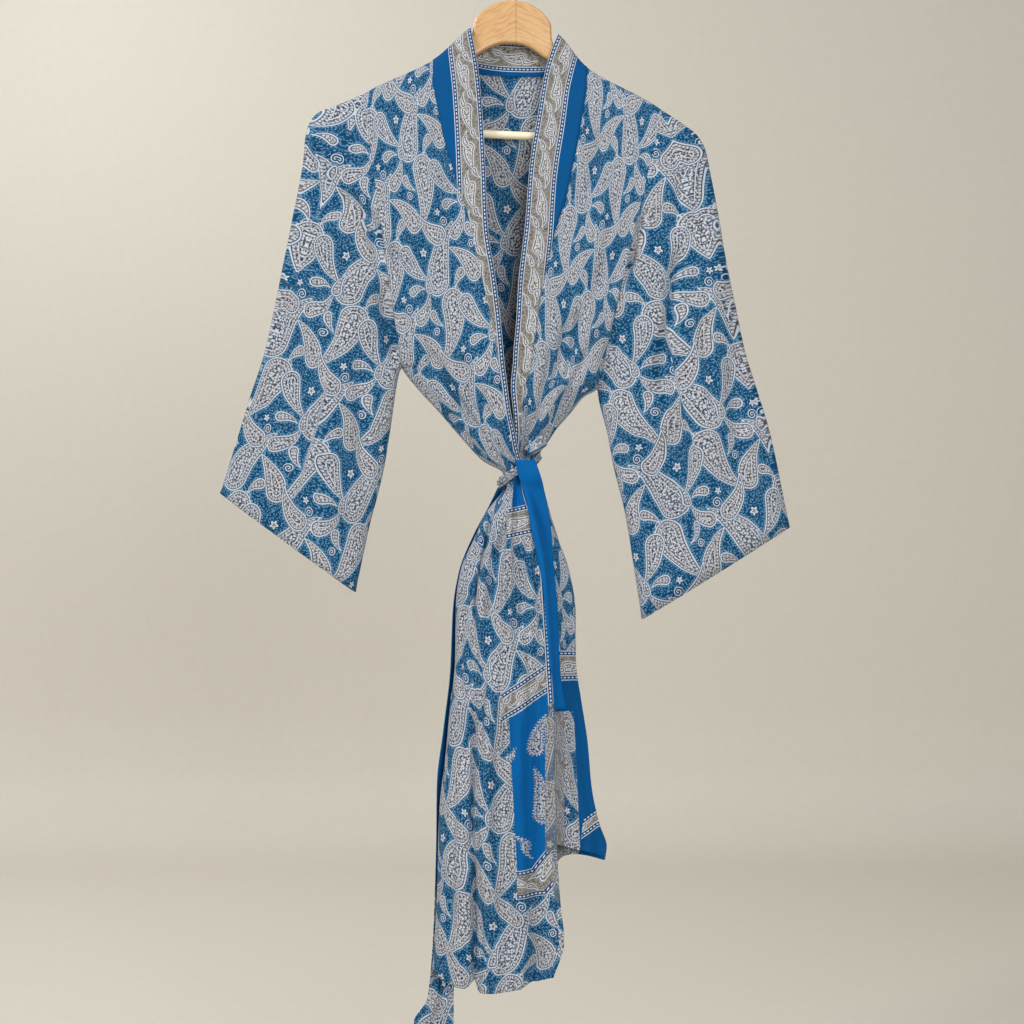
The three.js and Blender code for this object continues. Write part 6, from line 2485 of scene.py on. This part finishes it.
@dataclass
class Belt:
    """Tie belt: gathered wrap round the waist, knot in front, one end in front, one behind."""

    x: float = 4.4
    z: float = -613.6
    slope: float = 0.65
    half_x: float = 23.9
    half_y: float = 24.6
    height: float = 13.0
    pinch: float = 3.5
    blunt: float = 2.3
    wrap_cut: tuple[float, float] = (0.0206, 0.165)
    knot: tuple[float, float, float] = (23.5, -27.4, -586.0)
    knot_half: tuple[float, float, float] = (15.0, 8.6, 9.4)
    knot_cut: tuple[float, float] = (0.050, 0.028)
    wrap_grid: tuple[int, int] = (220, 22)
    knot_grid: tuple[int, int] = (96, 56)
    knot_pole: float = 0.10         # radians left open at its top and foot

    def _wrap_point(self, turn: float, up: float) -> Vector:
        """Point of the wrap at a turn in radians and a share of its height.

        Args:
            turn: round the waist, in radians.
            up: share of the wrap's height, from its middle.

        Returns:
            The point in millimetres.
        """
        bulge = 1.1 * math.cos(math.pi * up) + 0.5 * math.sin(3 * turn + 5 * up) + 0.9
        creases = noise.noise(Vector((math.cos(turn) * 1.4, math.sin(turn) * 1.4, up * 6.5)))
        fine = noise.noise(Vector((math.cos(turn) * 4, math.sin(turn) * 4, up * 13 + 5)))
        bulge += 2.3 * creases + 1.0 * fine
        cosine, sine = math.cos(turn), math.sin(turn)
        x = (self.half_x + bulge) * math.copysign(abs(cosine) ** (2 / self.blunt), cosine)
        y = (self.half_y + bulge) * math.copysign(abs(sine) ** (2 / self.blunt), sine)
        height = self.height - self.pinch * smooth(math.cos(turn + 0.8))
        return Vector((self.x + x, y, self.z + self.slope * x - height * up))

    def build_wrap(self, wardrobe: Wardrobe) -> bpy.types.Object:
        """Make the gathered wrap.

        Args:
            wardrobe: the finishes.

        Returns:
            The piece.
        """
        around, rows = self.wrap_grid
        points = [
            [self._wrap_point(2 * math.pi * t + 1.2, up - 0.5) for t in even(around)]
            for up in even(rows)
        ]
        cloth = Cloth("belt_wrap_cloth", ("belt_wrap",), "belt_print", points,
                      Vector((0, -1, 0)), thickness=1.0, spread=0.0, closed=True)
        material = wardrobe.printed("belt wrap print", (90.0, 20.0), 90.0)
        return declare(cloth.build(), material, self.wrap_cut)

    def _knot_point(self, turn: float, down: float) -> Vector:
        """Point of the knot's lump, from its top to its foot.

        Args:
            turn: round the lump, in radians.
            down: from its top, in radians.

        Returns:
            The point in millimetres.
        """
        way = Vector((math.sin(down) * math.cos(turn), math.sin(down) * math.sin(turn),
                      math.cos(down)))
        bands = math.sin(7.5 * (way.x * 0.35 + way.z) + 1.8 * way.y)
        wrinkle = noise.noise(way * 2.2 + Vector((3.1, 0.4, 7.7)))
        size = 0.93 + 0.07 * bands + 0.10 * wrinkle
        long, deep, wide = self.knot_half
        x, y, z = self.knot
        along, across = way.x * long * size, way.z * wide * size
        return Vector((x + 0.77 * along - 0.64 * across, y + deep * size * way.y,
                       z + 0.64 * along + 0.77 * across))

    def build_knot(self, wardrobe: Wardrobe) -> bpy.types.Object:
        """Make the knot: the belt folded over itself and pulled tight.

        Args:
            wardrobe: the finishes.

        Returns:
            The piece.
        """
        around, rows = self.knot_grid
        foot = math.pi - self.knot_pole
        points = [
            [self._knot_point(2 * math.pi * t, mix(self.knot_pole, foot, down))
             for t in even(around)]
            for down in even(rows)
        ]
        cloth = Cloth("belt_knot_cloth", ("belt_knot",), "belt_print", points,
                      Vector((0, -1, 0)), thickness=0.8, spread=0.0, closed=True)
        material = wardrobe.printed("belt knot print", (44.0, 70.0), 35.0)
        return declare(cloth.build(), material, self.knot_cut)

    def build(self, wardrobe: Wardrobe, body: RobeBody, band: Neckband) -> None:
        """Make the wrap, the knot and both ends.

        Args:
            wardrobe: the finishes.
            body: the robe under the belt.
            band: its neckband.
        """
        self.build_wrap(wardrobe)
        self.build_knot(wardrobe)
        front = BeltEnd(
            "belt_end_front_cloth", "belt_tail_front", "belt_blue", TAIL_FRONT,
            Vector((0, -1, 0)), 27.5, 20.0, -630.0, 1.6, 14, (0.023, 0.31), crest=1.6,
        )
        side = BeltEnd(
            "belt_end_side_cloth", "belt_tail_side", "belt_print", TAIL_SIDE,
            Vector((0, 1, 0)), 28.0, 8.0, -640.0, 3.0, 24, (0.040, 0.70), crest=-1.2, groove=-4.0,
        )
        skins = [skin_of(body.right_grid), skin_of(body.left_grid), skin_of(band.grid)]
        front.build(wardrobe.plain_blue(), skins, "front_right_cloth")
        side.build(wardrobe.side_end(), [skin_of(body.back_grid)], "back_cloth")


def finish_hard(
    mesh: bmesh.types.BMesh, name: str, node_name: str,
    material: bpy.types.Material,
) -> bpy.types.Object:
    """Turn a closed bmesh into a rigid piece that rides on the frame.

    Args:
        mesh: the solid, in metres.
        name: object name.
        node_name: the CAD node that it stands for.
        material: its finish.

    Returns:
        The piece.
    """
    bmesh.ops.recalc_face_normals(mesh, faces=mesh.faces)
    piece = new_object(mesh, name)
    piece.data.materials.append(material)
    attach(piece, "root")
    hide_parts(node_name)
    log.info("%s: %d faces", name, len(piece.data.polygons))
    return piece


@dataclass
class Hanger:
    """Flat wooden hanger with a turned bar and a wire hook, tilted a little as it hangs."""

    tilt: float = 2.7
    shift: float = 0.2
    head_drop: float = 60.9
    thick: float = 11.5
    edge: float = 3.2
    bar_radius: float = 4.7
    bar_half: float = 211.0
    bar_drop: float = 158.5
    wire_radius: float = 1.8
    hook_radius: float = 25.8
    hook_centre: float = -24.0
    hook_start: int = 190           # degrees; the hook is bent in steps from its tip
    hook_step: int = 4
    hook_points: int = 66
    bar_chamfer: float = 0.8
    top: tuple[tuple[float, float], ...] = (
        (0, 0), (16, -2.4), (30, -9.2), (40.3, -18.6), (45.6, -27.5), (46.2, -36),
        (47.4, -45), (50.5, -52.5), (57, -59.5), (65, -65.4), (78, -72.2), (110, -89.2),
        (160, -115.9), (204, -139.2), (212, -144), (215.5, -153),
    )
    under: tuple[tuple[float, float], ...] = (
        (214.5, -163), (208, -169.4), (200, -169), (193, -162), (184, -154), (150, -133.8),
        (110, -110.2), (80, -92.5), (60, -79.6), (40, -66.5), (20, -54), (0, -50.5),
    )

    def tilted(self, x: float, y: float, z: float) -> Vector:
        """Point of the hanger as it hangs, from its own upright frame.

        Args:
            x: across.
            y: depth.
            z: height.

        Returns:
            The point in millimetres.
        """
        turn = math.radians(self.tilt)
        return Vector((x * math.cos(turn) + z * math.sin(turn) + self.shift, y,
                       z * math.cos(turn) - x * math.sin(turn)))

    def outline(self) -> list[Vector]:
        """Smooth closed outline of the arms, in millimetres.

        Returns:
            Its points, with the height as y.
        """
        right = list(self.top) + list(self.under)
        loop = right + [(-x, z) for x, z in reversed(right[1:-1])]
        smooth_loop = []
        count = len(loop)
        for i in range(count):
            p0, p1, p2, p3 = (Vector((*loop[(i + k) % count], 0)) for k in (-1, 0, 1, 2))
            steps = max(1, round((p2 - p1).length / 6))
            for k in range(steps):
                t = k / steps
                smooth_loop.append(0.5 * (2 * p1 + (p2 - p0) * t
                                          + (2 * p0 - 5 * p1 + 4 * p2 - p3) * t ** 2
                                          + (3 * p1 - p0 - 3 * p2 + p3) * t ** 3))
        return smooth_loop

    def build_arms(self, material: bpy.types.Material) -> bpy.types.Object:
        """Make the arms: a board with well rounded edges.

        Args:
            material: its finish.

        Returns:
            The piece.
        """
        mesh = bmesh.new()
        front = [
            mesh.verts.new(self.tilted(p.x, -self.thick / 2, p.y - self.head_drop) * MM)
            for p in self.outline()
        ]
        face = mesh.faces.new(front)
        grown = bmesh.ops.extrude_face_region(mesh, geom=[face])["geom"]
        moved = [item for item in grown if isinstance(item, bmesh.types.BMVert)]
        bmesh.ops.translate(mesh, verts=moved, vec=(0, self.thick * MM, 0))
        rims = [edge for edge in mesh.edges
                if abs(edge.verts[0].co.y - edge.verts[1].co.y) < 1e-6]
        bmesh.ops.bevel(mesh, geom=rims, offset=self.edge * MM, affect="EDGES", segments=5,
                        profile=0.5, material=-1, clamp_overlap=False)
        return finish_hard(mesh, "hanger_arms_wood", "hanger_arms", material)

    def tube(self, centres: Sequence[Vector], radius: float, sides: int) -> bmesh.types.BMesh:
        """Closed rod round a flat line of centres in the XZ plane.

        Args:
            centres: points in millimetres.
            radius: of the rod.
            sides: faces round it.

        Returns:
            The mesh, in metres.
        """
        mesh = bmesh.new()
        rings = []
        last = len(centres) - 1
        for i, centre in enumerate(centres):
            ahead = (centres[min(i + 1, last)] - centres[max(i - 1, 0)]).normalized()
            across = ahead.cross(Vector((0, 1, 0)))
            shrink = ROD_END if i in (0, last) else 1.0
            rings.append([
                mesh.verts.new((centre + (across * math.cos(a) + Vector((0, 1, 0)) * math.sin(a))
                                * radius * shrink) * MM)
                for a in (2 * math.pi * k / sides for k in range(sides))
            ])
        for low, high in zip(rings, rings[1:]):
            for k in range(sides):
                n = (k + 1) % sides
                mesh.faces.new((low[k], low[n], high[n], high[k]))
        mesh.faces.new(rings[0])
        mesh.faces.new(rings[-1])
        return mesh

    def build_bar(self, material: bpy.types.Material) -> bpy.types.Object:
        """Make the trouser bar.

        Args:
            material: its finish.

        Returns:
            The piece.
        """
        z = -self.head_drop - self.bar_drop
        along = [-self.bar_half, -self.bar_half + self.bar_chamfer]
        along += [mix(-200, 200, t) for t in even(20)]
        along += [self.bar_half - self.bar_chamfer, self.bar_half]
        mesh = self.tube([self.tilted(x, 0, z) for x in along], self.bar_radius, 48)
        return finish_hard(mesh, "hanger_bar_wood", "hanger_bar", material)

    def build_hook(self, material: bpy.types.Material) -> bpy.types.Object:
        """Make the wire hook.

        Args:
            material: its finish.

        Returns:
            The piece.
        """
        centres = []
        for k in range(self.hook_points):
            turn = math.radians(self.hook_start - self.hook_step * k)
            centres.append(Vector((self.hook_radius * math.cos(turn), 0,
                                   self.hook_centre + self.hook_radius * math.sin(turn))))
        corners = [centres[-1], Vector((3.6, 0, -49.6)), Vector((-0.6, 0, -52.4)),
                   self.tilted(0, 0, -55.6), self.tilted(0, 0, -64.9), self.tilted(0, 0, -74.5)]
        curve_x = Curve([corner.x for corner in corners])
        curve_z = Curve([corner.z for corner in corners])
        for k in range(1, 26):
            centres.append(Vector((curve_x.at(k / 5), 0, curve_z.at(k / 5))))
        mesh = self.tube(centres, self.wire_radius, 24)
        return finish_hard(mesh, "hanger_hook_wire", "hanger_hook", material)

    def build(self, wardrobe: Wardrobe) -> None:
        """Make the arms, the bar and the hook.

        Args:
            wardrobe: the finishes.
        """
        self.build_arms(wardrobe.pine())
        self.build_bar(wardrobe.pale_pine())
        self.build_hook(wardrobe.steel())


@dataclass
class Studio:
    """Seamless pale backdrop, clear of every side view, soft lights and the camera."""

    wall: float = 2.7
    floor: float = -1.56
    bend: float = 0.30
    near: float = 3.0
    length: float = 9.6
    width: float = 6.0
    aim: tuple[float, float, float] = (0.0, 0.0, -0.65)
    air: float = 0.25
    camera_place: tuple[float, float, float] = (-0.00472, -2.0, -0.6638)
    lens: float = 59.6

    def backdrop(self, material: bpy.types.Material) -> None:
        """Floor that turns up into the wall.

        Args:
            material: its finish.
        """
        mesh = bmesh.new()
        bmesh.ops.create_grid(mesh, x_segments=4, y_segments=60, size=0.5)
        for vertex in mesh.verts:
            run = (vertex.co.y + 0.5) * self.length - self.near
            straight = self.wall - self.bend
            arc = self.bend * math.pi / 2
            if run < straight:
                y, z = run, self.floor
            elif run < straight + arc:
                turn = (run - straight) / self.bend
                y = straight + self.bend * math.sin(turn)
                z = self.floor + self.bend * (1 - math.cos(turn))
            else:
                y, z = self.wall, self.floor + self.bend + run - straight - arc
            vertex.co = (vertex.co.x * self.width, y, z)
        bmesh.ops.recalc_face_normals(mesh, faces=mesh.faces)
        sheet = new_object(mesh, "backdrop")
        sheet.data.materials.append(material)

    def light(self, name: str, place: Sequence[float], aim: Sequence[float], size: float,
              power: float, warmth: tuple[float, float, float] = (1.0, 1.0, 0.99)) -> None:
        """One soft area light.

        Args:
            name: of the lamp.
            place: where it stands.
            aim: what it points at.
            size: of its face, in metres.
            power: in watts.
            warmth: its colour.
        """
        lamp = bpy.data.lights.new(name, "AREA")
        lamp.shape = "SQUARE"
        lamp.size = size
        lamp.energy = power
        lamp.color = warmth
        lit = bpy.data.objects.new(name, lamp)
        lit.location = place
        way = Vector(aim) - Vector(place)
        lit.rotation_euler = way.to_track_quat("-Z", "Y").to_euler()
        bpy.context.scene.collection.objects.link(lit)

    def build(self, material: bpy.types.Material) -> None:
        """Set the backdrop, the lights, the camera and the display of colours.

        Args:
            material: of the backdrop.
        """
        self.backdrop(material)
        lamps = (
            ("key", (-3.1, -2.3, 1.9), 1.1, 112.0), ("fill", (1.1, -3.9, 0.1), 1.6, 82.0),
            ("crown", (0.3, -0.9, 1.9), 1.2, 16.0), ("back", (-1.9, 1.7, 1.5), 1.0, 36.0),
        )
        for name, place, size, power in lamps:
            self.light(name, place, self.aim, size, power)
        world = bpy.data.worlds.new("studio air")
        world.use_nodes = True
        air = world.node_tree.nodes["Background"]
        air.inputs["Color"].default_value = (0.96, 0.98, 1.0, 1.0)
        air.inputs["Strength"].default_value = self.air
        scene = bpy.context.scene
        scene.world = world
        scene.view_settings.view_transform = "Standard"
        lens = bpy.data.cameras.new("front view")
        lens.lens = self.lens
        lens.sensor_width = 36.0
        viewer = bpy.data.objects.new("front view", lens)
        viewer.location = self.camera_place
        viewer.rotation_euler = (math.pi / 2, 0.0, 0.0)
        scene.collection.objects.link(viewer)
        scene.camera = viewer


def main() -> None:
    """Build the robe, its belt, the hanger and the studio."""
    logging.basicConfig(level=logging.INFO, format="%(name)s: %(message)s")
    wardrobe = Wardrobe()
    form = RobeForm()
    body = RobeBody(form)
    body.build(wardrobe)
    Sleeve(form, Hand.RIGHT, seed=11.0).build(wardrobe)
    Sleeve(form, Hand.LEFT, seed=17.0).build(wardrobe)
    band = Neckband(body)
    band.build(wardrobe)
    Belt().build(wardrobe, body, band)
    Hanger().build(wardrobe)
    Studio().build(wardrobe.backdrop())


if __name__ == "__main__":
    main()
